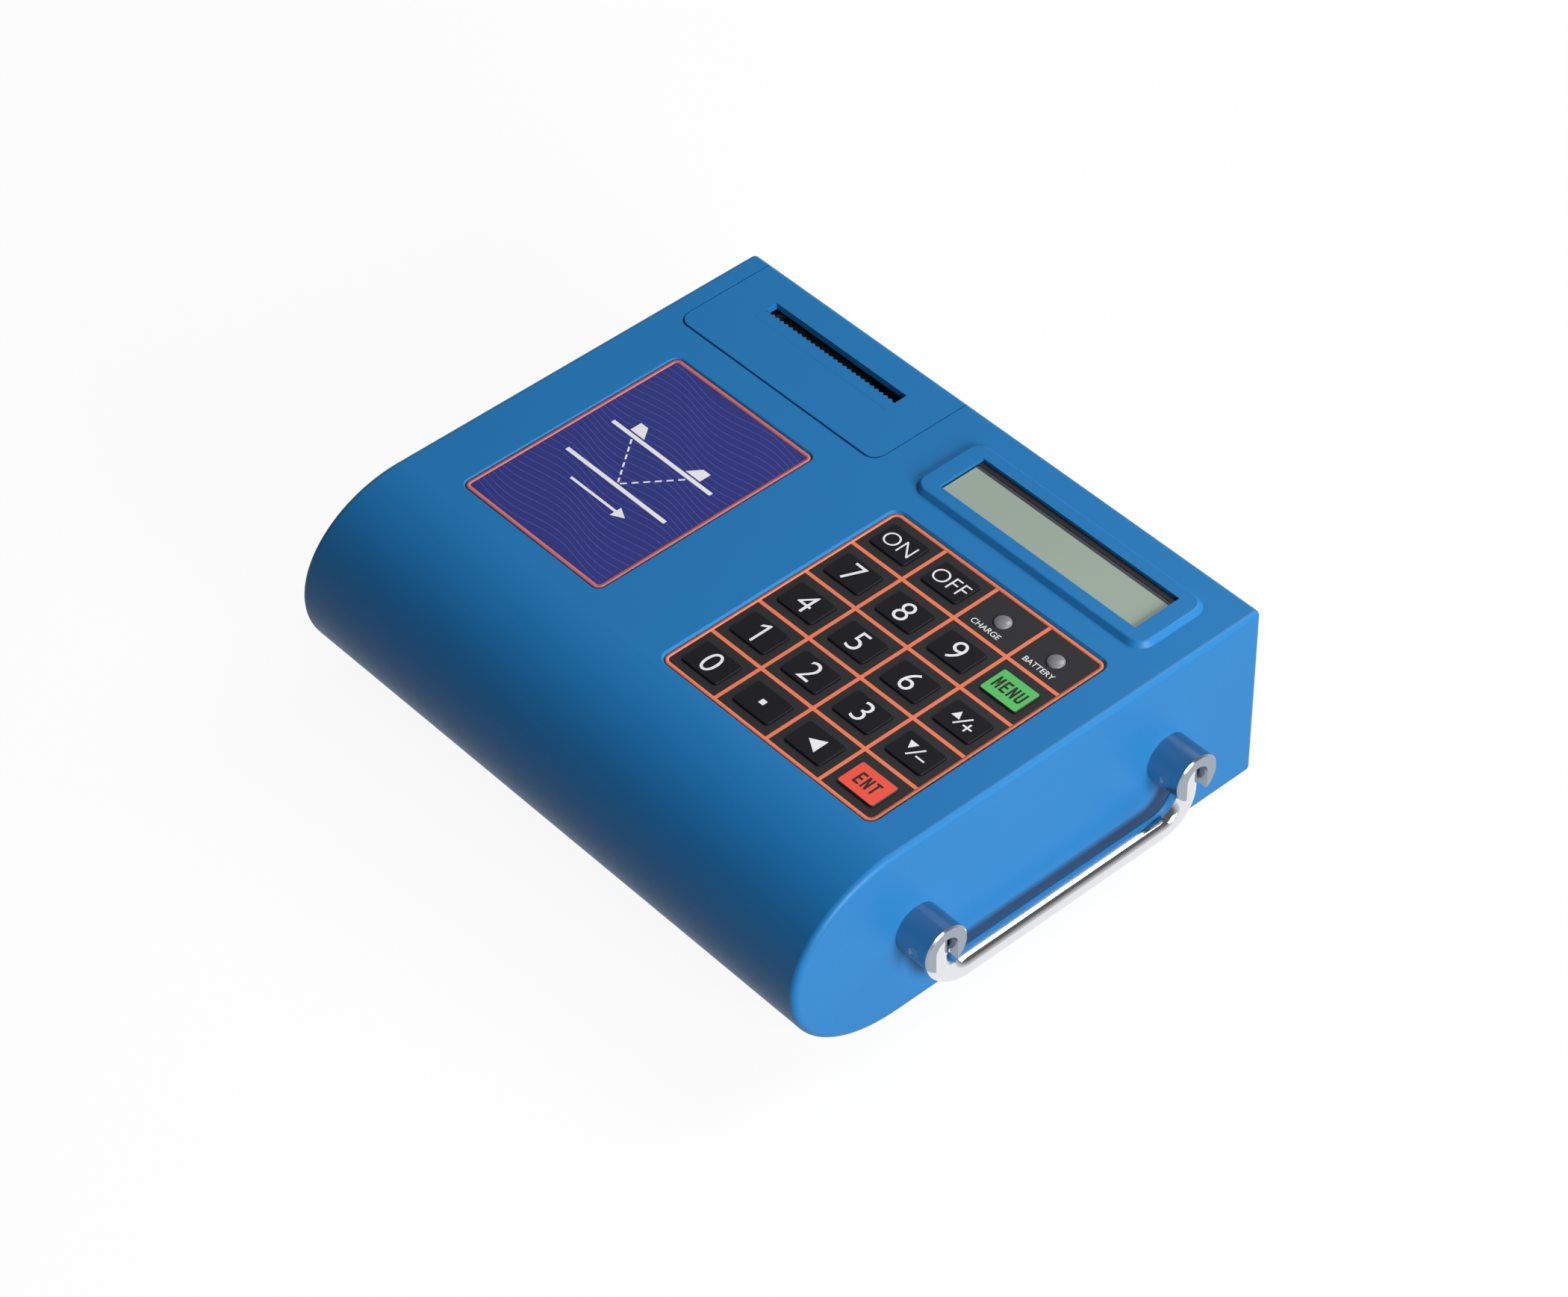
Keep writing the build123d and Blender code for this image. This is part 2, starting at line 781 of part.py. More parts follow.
def lcd_bezel():
    """Pressed metal frame of the display, open below and at its window."""
    frame = slab(display_x, display_y, bezel_w, bezel_d, bezel_bottom, bezel_top, bezel_corner)
    frame -= block(display_x - bezel_w / 2 + bezel_t, display_x + bezel_w / 2 - bezel_t,
                   display_y - bezel_d / 2 + bezel_t, display_y + bezel_d / 2 - bezel_t,
                   bezel_bottom, bezel_top - bezel_t)
    frame -= block(display_x - window_w / 2 + bezel_lip, display_x + window_w / 2 - bezel_lip,
                   display_y - window_d / 2 + bezel_lip, display_y + window_d / 2 - bezel_lip,
                   bezel_top - bezel_t, bezel_top)
    return frame


def lcd_glass():
    """Display cell on its light guide, under the bezel."""
    margin = bezel_t + seat_fit
    return block(display_x - bezel_w / 2 + margin, display_x + bezel_w / 2 - margin,
                 display_y - bezel_d / 2 + margin, display_y + bezel_d / 2 - margin,
                 bezel_bottom, bezel_top - bezel_t)


def lcd_board():
    """Circuit board of the display, screwed to the case's bosses."""
    low = bezel_bottom - module_board_t
    board = slab(display_x, display_y, module_w, module_d, low, bezel_bottom, module_corner)
    for x in module_screw_xs():
        for y in module_screw_ys():
            board -= rod_z(x, y, low, bezel_bottom, clear_r)
    half = driver_side / 2
    for side in (-1, 1):
        x = display_x + side * bezel_w / 4
        board += block(x - half, x + half, display_y - half, display_y + half, low - driver_t, low)
    return board


def printer_cover():
    """Printer door: slotted top plate, back flap and hinge knuckle in one piece."""
    left = printer_x - printer_w / 2
    right = printer_x + printer_w / 2
    door = door_outline(0, 0, top_z - door_t, top_z)
    door += block(left, right, -door_t, 0, door_hinge_z, top_z)
    door = fillet(door.edges().filter_by(Axis.X).sort_by(lambda e: e.center().Y + e.center().Z)[-1], edge_r)
    door += rod_x(left, right, door_hinge_y, door_hinge_z, hinge_knuckle_r)
    door -= rod_x(left, right, door_hinge_y, door_hinge_z, hinge_pin_r + shaft_fit)
    door -= block(printer_x - slot_w / 2, printer_x + slot_w / 2, tear_root_y, slot_y + slot_d / 2,
                  top_z - door_t, top_z)
    half = slot_w / 2 + tear_fit
    return door - block(printer_x - half, printer_x + half, tear_root_y - tear_depth - tear_fit,
                        tear_root_y, top_z - tear_t, top_z)


def tear_bar():
    """Serrated strip let into the door, flush with its top, along the front of the slot."""
    left = printer_x - slot_w / 2
    right = printer_x + slot_w / 2
    back_y = tear_root_y - tear_depth
    count = int(slot_w / tear_tooth_pitch - 0.5)
    start = printer_x - count * tear_tooth_pitch / 2
    outline = [(left, back_y), (left, tear_root_y), (start, tear_root_y)]
    for i in range(count):
        outline.append((start + (i + 0.5) * tear_tooth_pitch, tear_tip_y))
        outline.append((start + (i + 1) * tear_tooth_pitch, tear_root_y))
    outline += [(right, tear_root_y), (right, back_y)]
    return extrude(Pos(0, 0, top_z - tear_t) * make_face(Polyline(*outline, close=True)), tear_t)


def cover_hinge_pin():
    """Steel pin through the door's knuckle into both lugs."""
    reach = printer_w / 2 + door_gap + hinge_lug_w - hinge_lug_end - press_gap
    return rod_x(printer_x - reach, printer_x + reach, door_hinge_y, door_hinge_z, hinge_pin_r)


def printer_frame():
    """Bent steel frame: two side plates, a front plate and a floor under the paper roll."""
    top = top_z - frame_top_drop
    frame = block(printer_x - frame_out, printer_x + frame_out, frame_front_y, frame_front_y + frame_t,
                  frame_bottom, top)
    frame += block(printer_x - frame_out, printer_x + frame_out, frame_front_y, roll_y + roll_r,
                   frame_bottom, frame_bottom + frame_t)
    for side in (-1, 1):
        inner = printer_x + side * frame_in
        outer = printer_x + side * frame_out
        x0, x1 = min(inner, outer), max(inner, outer)
        frame += block(x0, x1, frame_front_y, -frame_back, frame_bottom, top)
        seat = roll_core_r + press_gap
        frame -= rod_x(x0, x1, roll_y, roll_z, seat)
        frame -= block(x0, x1, roll_y, -frame_back, roll_z - seat, roll_z + seat)
        frame -= rod_x(x0, x1, platen_y, platen_z, platen_shaft_r + shaft_fit)
    outer = printer_x + frame_out
    frame += rod_x(outer, outer + gear_gap + gear_t, idler_y, idler_z, idler_axle_r)
    frame -= rod_x(outer - frame_t, outer, pinion_y, pinion_z, motor_shaft_r + seat_fit)
    for x, y in frame_post_places():
        frame -= rod_z(x, y, frame_bottom, frame_bottom + frame_t, clear_r)
    return frame


def print_head():
    """Thermal head: a finned heat sink with the heating strip that faces the platen."""
    face_y = slot_y - paper_gap / 2
    back_y = face_y - head_t
    z1 = platen_z + head_h / 2
    z0 = platen_z - head_h / 2
    head = block(printer_x - frame_in, printer_x + frame_in, back_y, face_y - head_strip_t, z0, z1)
    half = frame_in - head_fin_margin
    pitch = head_h / head_fins
    for i in range(1, head_fins):
        z = z0 + i * pitch
        head -= block(printer_x - half, printer_x + half, back_y, back_y + head_fin_deep,
                      z - pitch / 5, z + pitch / 5)
    return head + block(printer_x - paper_w / 2, printer_x + paper_w / 2, face_y - head_strip_t, face_y,
                        platen_z - head_strip_h / 2, platen_z + head_strip_h / 2)


def platen_roller():
    """Rubber sleeve of the platen."""
    sleeve = rod_x(printer_x - paper_w / 2, printer_x + paper_w / 2, platen_y, platen_z, platen_r)
    return sleeve - rod_x(printer_x - paper_w / 2, printer_x + paper_w / 2, platen_y, platen_z,
                          platen_shaft_r + press_gap)


def platen_shaft():
    """Steel shaft of the platen, out through both side plates to the gear."""
    return rod_x(printer_x - frame_out - platen_shaft_end, gear_x + gear_t + gear_gap, platen_y, platen_z,
                 platen_shaft_r)


def gear(teeth, phase, y, z, bore):
    """A spur gear in the gear plane, with tapered teeth and one tooth at the phase angle."""
    pitch_r = gear_module * teeth / 2
    root_r = pitch_r - 1.1 * gear_module
    tip_r = pitch_r + 0.75 * gear_module
    pitch_angle = 360 / teeth
    outline = []
    for i in range(teeth):
        middle = phase + i * pitch_angle
        for share, radius in ((-0.27, root_r), (-0.11, tip_r), (0.11, tip_r), (0.27, root_r)):
            angle = radians(middle + share * pitch_angle)
            outline.append((radius * cos(angle), radius * sin(angle)))
    face = Plane((gear_x, y, z), x_dir=(0, 1, 0), z_dir=(1, 0, 0)) * make_face(Polyline(*outline, close=True))
    wheel = extrude(face, gear_t)
    if bore:
        wheel -= rod_x(gear_x, gear_x + gear_t, y, z, bore)
    return wheel


def mesh_phase(phase, teeth, next_teeth, direction):
    """Tooth angle of the next gear, so that it meshes with this one along the direction."""
    offset = (phase - direction) * teeth / 360 + 0.5
    return direction + 180 - offset * 360 / next_teeth


idler_phase = mesh_phase(0, platen_teeth, idler_teeth, idler_angle)
pinion_phase = mesh_phase(idler_phase, idler_teeth, pinion_teeth, pinion_angle)


def platen_gear():
    """Gear on the end of the platen's shaft."""
    return gear(platen_teeth, 0, platen_y, platen_z, platen_shaft_r + press_gap)


def idler_gear():
    """Idler between the motor and the platen, on a stub of the frame."""
    return gear(idler_teeth, idler_phase, idler_y, idler_z, idler_axle_r + shaft_fit)


def motor_pinion():
    """Motor pinion with its shaft."""
    shaft = rod_x(gear_x - gear_gap - frame_t - motor_len / 2, gear_x + gear_t, pinion_y, pinion_z,
                  motor_shaft_r)
    return gear(pinion_teeth, pinion_phase, pinion_y, pinion_z, 0) + shaft


def print_motor():
    """Stepper motor on the inner face of the right side plate."""
    end = printer_x + frame_in
    body = rod_x(end - motor_len, end, pinion_y, pinion_z, motor_r)
    body = fillet(body.edges().sort_by(Axis.X)[0], motor_edge)
    return body - rod_x(end - motor_len / 2 - gear_gap, end, pinion_y, pinion_z, motor_shaft_r + shaft_fit)


def paper_roll():
    """Roll of paper on its spindle."""
    roll = rod_x(printer_x - paper_w / 2, printer_x + paper_w / 2, roll_y, roll_z, roll_r)
    return roll - rod_x(printer_x - paper_w / 2, printer_x + paper_w / 2, roll_y, roll_z,
                        roll_core_r + shaft_fit)


def roll_spindle():
    """Plastic spindle of the paper roll, in the seats of the side plates."""
    reach = frame_out + spindle_end
    return rod_x(printer_x - reach, printer_x + reach, roll_y, roll_z, roll_core_r)


def bail_path():
    """Centre line of the bail: down from one hinge, along the bar and up to the other."""
    low = hinge_z - bail_drop
    points = [(hinge_x, post_ys[0], hinge_z), (hinge_x, post_ys[0], low),
              (hinge_x, post_ys[1], low), (hinge_x, post_ys[1], hinge_z)]
    return FilletPolyline(*points, radius=bail_bend_r)


def handle_bail():
    """Chromed rod bent to a bail, round at both ends and drilled for the hinge pins."""
    section = Plane((hinge_x, post_ys[0], hinge_z), z_dir=(0, 0, -1)) * Circle(bail_rod_r)
    bail = sweep(section, path=bail_path())
    for y in post_ys:
        bail += Pos(hinge_x, y, hinge_z) * Sphere(bail_rod_r)
    for y in post_ys:
        bail -= rod_y(hinge_x, y - bail_rod_r, y + bail_rod_r, hinge_z, bail_pin_r + shaft_fit)
    return bail


def handle_posts():
    """Two round posts, each with a slot for the bail that is open at its end and below."""
    posts = []
    half_slot = bail_rod_r + bail_slot_gap
    slot_start = right_x + post_root
    for y in post_ys:
        post = rod_x(right_x, post_end_x, y, hinge_z, post_r)
        post = chamfer(post.edges().sort_by(Axis.X)[-1], post_edge)
        post -= rod_x(slot_start, post_end_x, y, hinge_z, half_slot)
        post -= block(slot_start, post_end_x, y - half_slot, y + half_slot, hinge_z - post_r, hinge_z)
        post -= rod_y(hinge_x, y - post_r, y + post_r, hinge_z, bail_pin_r + press_gap)
        stud_start = right_x - wall - post_nut_t - post_stud_end
        posts.append(post + rod_x(stud_start, right_x, y, hinge_z, post_stud_r))
    return posts


def handle_pins():
    """Hinge pins of the bail, just below the surface of the posts."""
    reach = post_r - bail_pin_sink
    return [rod_y(hinge_x, y - reach, y + reach, hinge_z, bail_pin_r) for y in post_ys]


def post_nuts():
    """Nuts inside the case that hold the posts."""
    end = right_x - wall
    nuts = []
    for y in post_ys:
        nut = hex_x(end - post_nut_t, end, y, hinge_z, post_nut_r)
        nuts.append(nut - rod_x(end - post_nut_t, end, y, hinge_z, post_stud_r + press_gap))
    return nuts


def sensor_socket(x):
    """Round screw socket of a transducer cable, with three contact holes in its floor."""
    body = rod_y(x, 0, sensor_socket_len, socket_z, sensor_socket_r)
    body = chamfer(body.edges().sort_by(Axis.Y)[-1], sensor_edge)
    body += rod_y(x, 0, sensor_flange_t, socket_z, sensor_flange_r)
    body += rod_y(x, -wall - sensor_socket_inner, 0, socket_z, sensor_socket_r)
    body -= rod_y(x, sensor_socket_len - sensor_bore_depth, sensor_socket_len, socket_z, sensor_bore_r)
    floor = sensor_socket_len - sensor_bore_depth
    for i in range(3):
        angle = radians(90 + 120 * i)
        body -= rod_y(x + contact_ring_r * cos(angle), floor - contact_deep, floor,
                      socket_z + contact_ring_r * sin(angle), contact_r)
    return body


def serial_port():
    """Nine-way data socket: slotted-D shell, plate and two threaded pillars."""
    half_top = serial_w / 2
    half_low = serial_w / 2 - serial_d * sin(radians(serial_slant))
    corners = [(-half_top, serial_d / 2), (half_top, serial_d / 2), (half_low, -serial_d / 2),
               (-half_low, -serial_d / 2)]
    face = make_face(Polyline(*corners, close=True))
    face = fillet(face.vertices(), serial_corner)
    plane = Plane((serial_x, 0, socket_z), x_dir=(1, 0, 0), z_dir=(0, -1, 0))
    port = extrude(plane * face, wall + serial_inner)
    port += extrude(plane * face, -serial_len)
    port += block(serial_x - serial_plate_w / 2, serial_x + serial_plate_w / 2, 0, serial_plate_t,
                  socket_z - serial_plate_d / 2, socket_z + serial_plate_d / 2)
    for row, count in ((0.5, 5), (-0.5, 4)):
        for i in range(count):
            x = serial_x + (i - (count - 1) / 2) * serial_pin_step
            port -= rod_y(x, serial_len - serial_pin_deep, serial_len, socket_z + row * serial_row_gap,
                          serial_pin_r)
    post_end = serial_len - serial_post_drop
    for side in (-1, 1):
        x = serial_x + side * serial_screw_pitch / 2
        port += hex_y(x, serial_plate_t, post_end, socket_z, serial_post_r)
        port -= rod_y(x, 0, post_end, socket_z, serial_screw_r)
    return port


def charge_jack():
    """Barrel socket of the charger, with its centre pin."""
    bore_end = jack_mouth - jack_bore_depth
    body = rod_y(jack_x, 0, jack_mouth, socket_z, jack_flange_r)
    body += rod_y(jack_x, -wall - jack_bore_depth, 0, socket_z, jack_r)
    body -= rod_y(jack_x, bore_end, jack_mouth, socket_z, jack_bore_r)
    return body + rod_y(jack_x, bore_end, jack_mouth - jack_pin_drop, socket_z, jack_pin_r)


def socket_nuts():
    """Nuts that hold the round sockets from inside."""
    nuts = []
    for x, hole in [(sensor_xs[0], sensor_socket_r), (sensor_xs[1], sensor_socket_r), (jack_x, jack_r)]:
        nut = hex_y(x, -wall - sensor_nut_t, -wall, socket_z, hole + nut_rim)
        nuts.append(nut - rod_y(x, -wall - sensor_nut_t, -wall, socket_z, hole + press_gap))
    return nuts


def circuit_board(x, y, width, depth, z, places, parts):
    """A board with screw holes and some component bodies on its top."""
    board = slab(x, y, width, depth, z, z + board_t, board_corner)
    for dx, dy, w, d, h in parts:
        board += block(x + dx - w / 2, x + dx + w / 2, y + dy - d / 2, y + dy + d / 2, z + board_t,
                       z + board_t + h)
    for px, py in places:
        board -= rod_z(px, py, z, z + board_t, screw_r + seat_fit / 2)
    return board


def main_board():
    """Lower board: processor, power supply and data drivers."""
    parts = [(-board_w / 6, -board_d / 20, chip_side, chip_side, chip_t),
             (board_w * 0.07, -board_d * 0.3, chip_side * 0.7, chip_side / 2, chip_t),
             (board_w * 0.31, -board_d / 4, power_coil_w, power_coil_d, power_coil_h),
             (board_w * 0.12, 0, port_chip_w, port_chip_d, chip_t)]
    return circuit_board(board_x, board_y, board_w, board_d, board_z, board_places(), parts)


def measuring_board():
    """Upper board: pulse driver and receiver of the transducers."""
    parts = [(-board_w * 0.24, 0, pulse_coil_side, pulse_coil_side, pulse_coil_h),
             (board_w * 0.05, upper_board_d * 0.08, chip_side, chip_side, chip_t),
             (board_w * 0.26, -upper_board_d * 0.12, relay_w, relay_d, relay_h)]
    return circuit_board(board_x, upper_board_y, board_w, upper_board_d, upper_board_z,
                         upper_board_places(), parts)


def standoff(x, y, z0, z1):
    """A round spacer with a screw bore right through."""
    return rod_z(x, y, z0, z1, standoff_r) - rod_z(x, y, z0, z1, screw_r + press_gap)


def board_standoffs():
    """Spacers under both boards."""
    posts = [standoff(x, y, ledge_z, board_z) for x, y in board_places()]
    return posts + [standoff(x, y, board_z + board_t, upper_board_z) for x, y in upper_board_places()]


def pan_screw(x, y, z, length, up):
    """A small screw whose head lies against z, with its shank going up or down."""
    head_end = z - up * small_head_h
    tip = z + up * length
    head = rod_z(x, y, min(z, head_end), max(z, head_end), small_head_r)
    return head + rod_z(x, y, min(z, tip), max(z, tip), small_screw_r)


def board_screws():
    """Screws of the display, the lamp board and the printer frame."""
    screws = []
    for x in module_screw_xs():
        for y in module_screw_ys():
            screws.append(pan_screw(x, y, bezel_bottom - module_board_t, module_board_t + small_bite, 1))
    for y in led_boss_ys():
        screws.append(pan_screw(led_board_x(), y, led_board_z() - led_board_t, led_board_t + small_bite, 1))
    for x, y in frame_post_places():
        screws.append(pan_screw(x, y, frame_bottom + frame_t, frame_t + frame_bite, -1))
    return screws


def battery_tray():
    """Open tray for the cells on the bottom cover."""
    low = ledge_z
    height = tray_t + cell_r * 1.5
    outer = slab(tray_x, board_y, tray_w, tray_d, low, low + height, tray_corner)
    return outer - block(tray_x - tray_w / 2 + tray_t, tray_x + tray_w / 2 - tray_t,
                         board_y - tray_d / 2 + tray_t, board_y + tray_d / 2 - tray_t, low + tray_t,
                         low + height)


def battery_cells():
    """Rechargeable cells side by side in the tray."""
    cells = []
    for i in range(cell_count):
        y = board_y + (i - (cell_count - 1) / 2) * (2 * cell_r + cell_gap)
        z = ledge_z + tray_t + cell_r
        end = tray_x + cell_len / 2
        cell = rod_x(tray_x - cell_len / 2, end - cell_cap_h, y, z, cell_r)
        cells.append(cell + rod_x(end - cell_cap_h, end, y, z, cell_cap_r))
    return cells


def buzzer():
    """Round sounder on the lower board."""
    x = board_x - board_w / 2 + 2 * buzzer_r
    y = board_y - board_d / 2 + 2 * buzzer_r + board_corner_inset
    top = board_z + board_t + buzzer_h
    body = rod_z(x, y, board_z + board_t, top, buzzer_r)
    return body - rod_z(x, y, top - buzzer_hole_deep, top, buzzer_hole_r)


def all_nodes():
    """Every node of the meter under the name of its file."""
    nodes = {
        "main_case": main_case(),
        "bottom_cover": bottom_cover(),
        "rubber_feet": rubber_feet(),
        "cover_screws": cover_screws(),
        "keypad_base": keypad_base(),
        "keypad_overlay": keypad_overlay(),
        "contact_domes": contact_domes(),
        "led_board": led_board(),
        "label_plate": label_plate(),
        "lcd_bezel": lcd_bezel(),
        "lcd_glass": lcd_glass(),
        "lcd_board": lcd_board(),
        "printer_cover": printer_cover(),
        "tear_bar": tear_bar(),
        "cover_hinge_pin": cover_hinge_pin(),
        "printer_frame": printer_frame(),
        "print_head": print_head(),
        "platen_roller": platen_roller(),
        "platen_shaft": platen_shaft(),
        "platen_gear": platen_gear(),
        "idler_gear": idler_gear(),
        "motor_pinion": motor_pinion(),
        "print_motor": print_motor(),
        "paper_roll": paper_roll(),
        "roll_spindle": roll_spindle(),
        "handle_bail": handle_bail(),
        "handle_posts": handle_posts(),
        "handle_pins": handle_pins(),
        "post_nuts": post_nuts(),
        "sensor_socket_up": sensor_socket(sensor_xs[0]),
        "sensor_socket_down": sensor_socket(sensor_xs[1]),
        "serial_port": serial_port(),
        "charge_jack": charge_jack(),
        "socket_nuts": socket_nuts(),
        "main_board": main_board(),
        "measuring_board": measuring_board(),
        "board_standoffs": board_standoffs(),
        "board_screws": board_screws(),
        "battery_tray": battery_tray(),
        "battery_cells": battery_cells(),
        "buzzer": buzzer(),
        "indicator_lamps": [lamp(x, y) for x, y in lamp_cells],
    }
    for name, x, y in key_cells():
        nodes[name] = key(x, y)
    return nodes


def write_parts():
    """Shift every node into the part's frame and write it."""
    os.makedirs("parts", exist_ok=True)
    shift = Pos(-(left_x + post_end_x) / 2, (case_d - sensor_socket_len) / 2, 0)
    for name, shape in all_nodes().items():
        if isinstance(shape, list):
            shape = Compound(children=[shift * piece for piece in shape])
        else:
            shape = shift * shape
        export_step(shape, "parts/" + name + ".step")


write_parts()
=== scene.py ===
# %% [markdown]
# A portable flow meter: a blue moulded case with a keypad, a display, a strip printer and a
# chromed bail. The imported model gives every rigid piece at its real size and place. This scene
# gives those pieces their finishes and adds what is only printed on them.
# %% Load the frame
import bmesh
import bpy
from math import cos, pi, radians, sin
from mathutils import Matrix, Vector


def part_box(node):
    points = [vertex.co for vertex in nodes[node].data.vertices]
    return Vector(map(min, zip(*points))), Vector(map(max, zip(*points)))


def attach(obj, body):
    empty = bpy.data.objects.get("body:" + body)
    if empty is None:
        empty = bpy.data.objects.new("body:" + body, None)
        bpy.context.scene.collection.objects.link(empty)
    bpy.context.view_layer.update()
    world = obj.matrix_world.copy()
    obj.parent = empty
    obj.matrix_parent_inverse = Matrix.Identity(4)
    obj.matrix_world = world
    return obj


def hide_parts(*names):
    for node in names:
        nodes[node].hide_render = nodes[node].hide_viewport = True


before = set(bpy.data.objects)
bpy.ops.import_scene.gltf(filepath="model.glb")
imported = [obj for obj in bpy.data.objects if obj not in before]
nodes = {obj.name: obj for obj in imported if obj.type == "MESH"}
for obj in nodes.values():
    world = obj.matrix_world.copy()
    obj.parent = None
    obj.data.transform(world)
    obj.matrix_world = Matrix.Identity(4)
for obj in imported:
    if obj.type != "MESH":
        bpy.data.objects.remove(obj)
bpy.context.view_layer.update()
mm = 0.001

# %% [markdown]
# The camera stands where the photographer stood. Its place and its three angles were solved
# from edges of the case. The lens follows from the frame's width.
# %% Camera
camera_place = Vector((830.94, -730.33, 1109.40)) * mm
camera_azimuth = radians(48.927)
camera_elevation = radians(44.138)
camera_roll = radians(-1.081)
lens_mm = 116.455


def camera_matrix(place, azimuth, elevation, roll):
    """World matrix of a camera that looks at the object from that azimuth and elevation."""
    back = Vector((sin(azimuth) * cos(elevation), -cos(azimuth) * cos(elevation), sin(elevation)))
    level = Vector((cos(azimuth), sin(azimuth), 0))
    up = back.cross(level)
    right = level * cos(roll) + up * sin(roll)
    up = up * cos(roll) - level * sin(roll)
    turn = Matrix((right, up, back)).transposed().to_4x4()
    return Matrix.Translation(place) @ turn


camera_data = bpy.data.cameras.new("camera")
camera_data.lens = lens_mm
camera_data.sensor_width = 36
camera_data.clip_start = 0.05
camera = bpy.data.objects.new("camera", camera_data)
camera.matrix_world = camera_matrix(camera_place, camera_azimuth, camera_elevation, camera_roll)
bpy.context.scene.collection.objects.link(camera)
bpy.context.scene.camera = camera
print("camera at", [round(v, 3) for v in camera_place])

# %% [markdown]
# A node tree is easier to read when each step is one call, so small helpers add a node with its
# settings, make a noise or spread it over a range. Colours are written as the screen shows them
# and turned into light values, because the shader works with light.
# %% Node helpers


def linear(value):
    """One channel of a screen colour, 0 to 255, as a light value."""
    v = value / 255
    return v / 12.92 if v <= 0.04045 else ((v + 0.055) / 1.055) ** 2.4


def colour(red, green, blue):
    """A screen colour as a shader colour."""
    return (linear(red), linear(green), linear(blue), 1)


def add_node(tree, kind, settings=None, inputs=None):
    """A node of that kind, with its settings and its unlinked inputs."""
    node = tree.nodes.new(kind)
    for key, value in (settings or {}).items():
        setattr(node, key, value)
    for key, value in (inputs or {}).items():
        node.inputs[key].default_value = value
    return node


def shader(name, base, roughness, metallic=0.0, settings=None):
    """A material with a Principled shader. Gives the material, its tree and the shader."""
    material = bpy.data.materials.new(name)
    material.use_nodes = True
    tree = material.node_tree
    bsdf = tree.nodes["Principled BSDF"]
    bsdf.inputs["Base Color"].default_value = base
    bsdf.inputs["Roughness"].default_value = roughness
    bsdf.inputs["Metallic"].default_value = metallic
    for key, value in (settings or {}).items():
        bsdf.inputs[key].default_value = value
    return material, tree, bsdf


def object_place(tree, scale=(1, 1, 1)):
    """Object coordinates in metres, stretched by a scale."""
    place = add_node(tree, "ShaderNodeTexCoord")
    mapping = add_node(tree, "ShaderNodeMapping", inputs={"Scale": scale})
    tree.links.new(place.outputs["Object"], mapping.inputs["Vector"])
    return mapping.outputs["Vector"]


def noise(tree, scale, detail=3.0, stretch=(1, 1, 1)):
    """Noise of that many waves per metre."""
    node = add_node(tree, "ShaderNodeTexNoise", inputs={"Scale": scale, "Detail": detail})
    tree.links.new(object_place(tree, stretch), node.inputs["Vector"])
    return node.outputs["Fac"]


def spread(tree, factor, low, high):
    """The factor's 0.3 to 0.7 spread over low to high."""
    node = add_node(tree, "ShaderNodeMapRange", inputs={"From Min": 0.3, "From Max": 0.7})
    node.inputs["To Min"].default_value = low
    node.inputs["To Max"].default_value = high
    tree.links.new(factor, node.inputs["Value"])
    return node.outputs["Result"]


def relief(tree, bsdf, height, depth_mm, strength=1.0):
    """Fine relief of that depth on the shader's surface."""
    node = add_node(tree, "ShaderNodeBump", inputs={"Distance": depth_mm * mm, "Strength": strength})
    tree.links.new(height, node.inputs["Height"])
    tree.links.new(node.outputs["Normal"], bsdf.inputs["Normal"])
    return node


def vary(tree, bsdf, factor, light, dark):
    """The base colour between two colours by a factor."""
    node = add_node(tree, "ShaderNodeMix", {"data_type": "RGBA"})
    node.inputs["A"].default_value = light
    node.inputs["B"].default_value = dark
    tree.links.new(factor, node.inputs["Factor"])
    tree.links.new(node.outputs["Result"], bsdf.inputs["Base Color"])
    return node


# %% [markdown]
# Moulded plastic has a fine spark texture from its mould and a very slight change of shade over
# its length. Both come from noise: a dense one for the relief and the gloss, a slow one for the
# shade. The same helper serves every plastic piece, with its own colour and grain.
# %% Plastics


def plastic(name, base, shade, roughness, grain_mm=0.35, depth_mm=0.006, settings=None):
    """Moulded plastic with a spark texture of that grain."""
    material, tree, bsdf = shader(name, base, roughness, settings=settings)
    grain = noise(tree, 1 / (grain_mm * mm), 2.0)
    cloud = noise(tree, 9.0, 2.0)
    vary(tree, bsdf, cloud, base, shade)
    tree.links.new(spread(tree, grain, roughness - 0.05, roughness + 0.07), bsdf.inputs["Roughness"])
    relief(tree, bsdf, grain, depth_mm)
    return material


case_blue = plastic("case_blue", colour(31, 119, 181), colour(26, 113, 176), 0.46, 0.45, 0.010,
                    {"Specular IOR Level": 0.3})
foot_rubber = plastic("foot_rubber", colour(28, 28, 30), colour(22, 22, 24), 0.8, 0.6, 0.02)
key_black = plastic("key_black", colour(18, 16, 21), colour(15, 14, 18), 0.5, 0.3, 0.003,
                    {"Specular IOR Level": 0.2})
keypad_film = plastic("keypad_film", colour(18, 16, 21), colour(15, 14, 18), 0.5, 0.3, 0.003,
                      {"Specular IOR Level": 0.2})
keypad_black = plastic("keypad_black", colour(22, 21, 26), colour(19, 18, 23), 0.5, 0.3, 0.003)
gear_plastic = plastic("gear_plastic", colour(222, 220, 208), colour(214, 211, 198), 0.42)
spindle_plastic = plastic("spindle_plastic", colour(60, 62, 66), colour(52, 54, 58), 0.5)
socket_black = plastic("socket_black", colour(24, 24, 26), colour(20, 20, 22), 0.45)
bezel_black = plastic("bezel_black", colour(44, 45, 49), colour(38, 39, 43), 0.36, 0.4, 0.003)
platen_rubber = plastic("platen_rubber", colour(40, 40, 42), colour(34, 34, 36), 0.75, 0.5, 0.01)
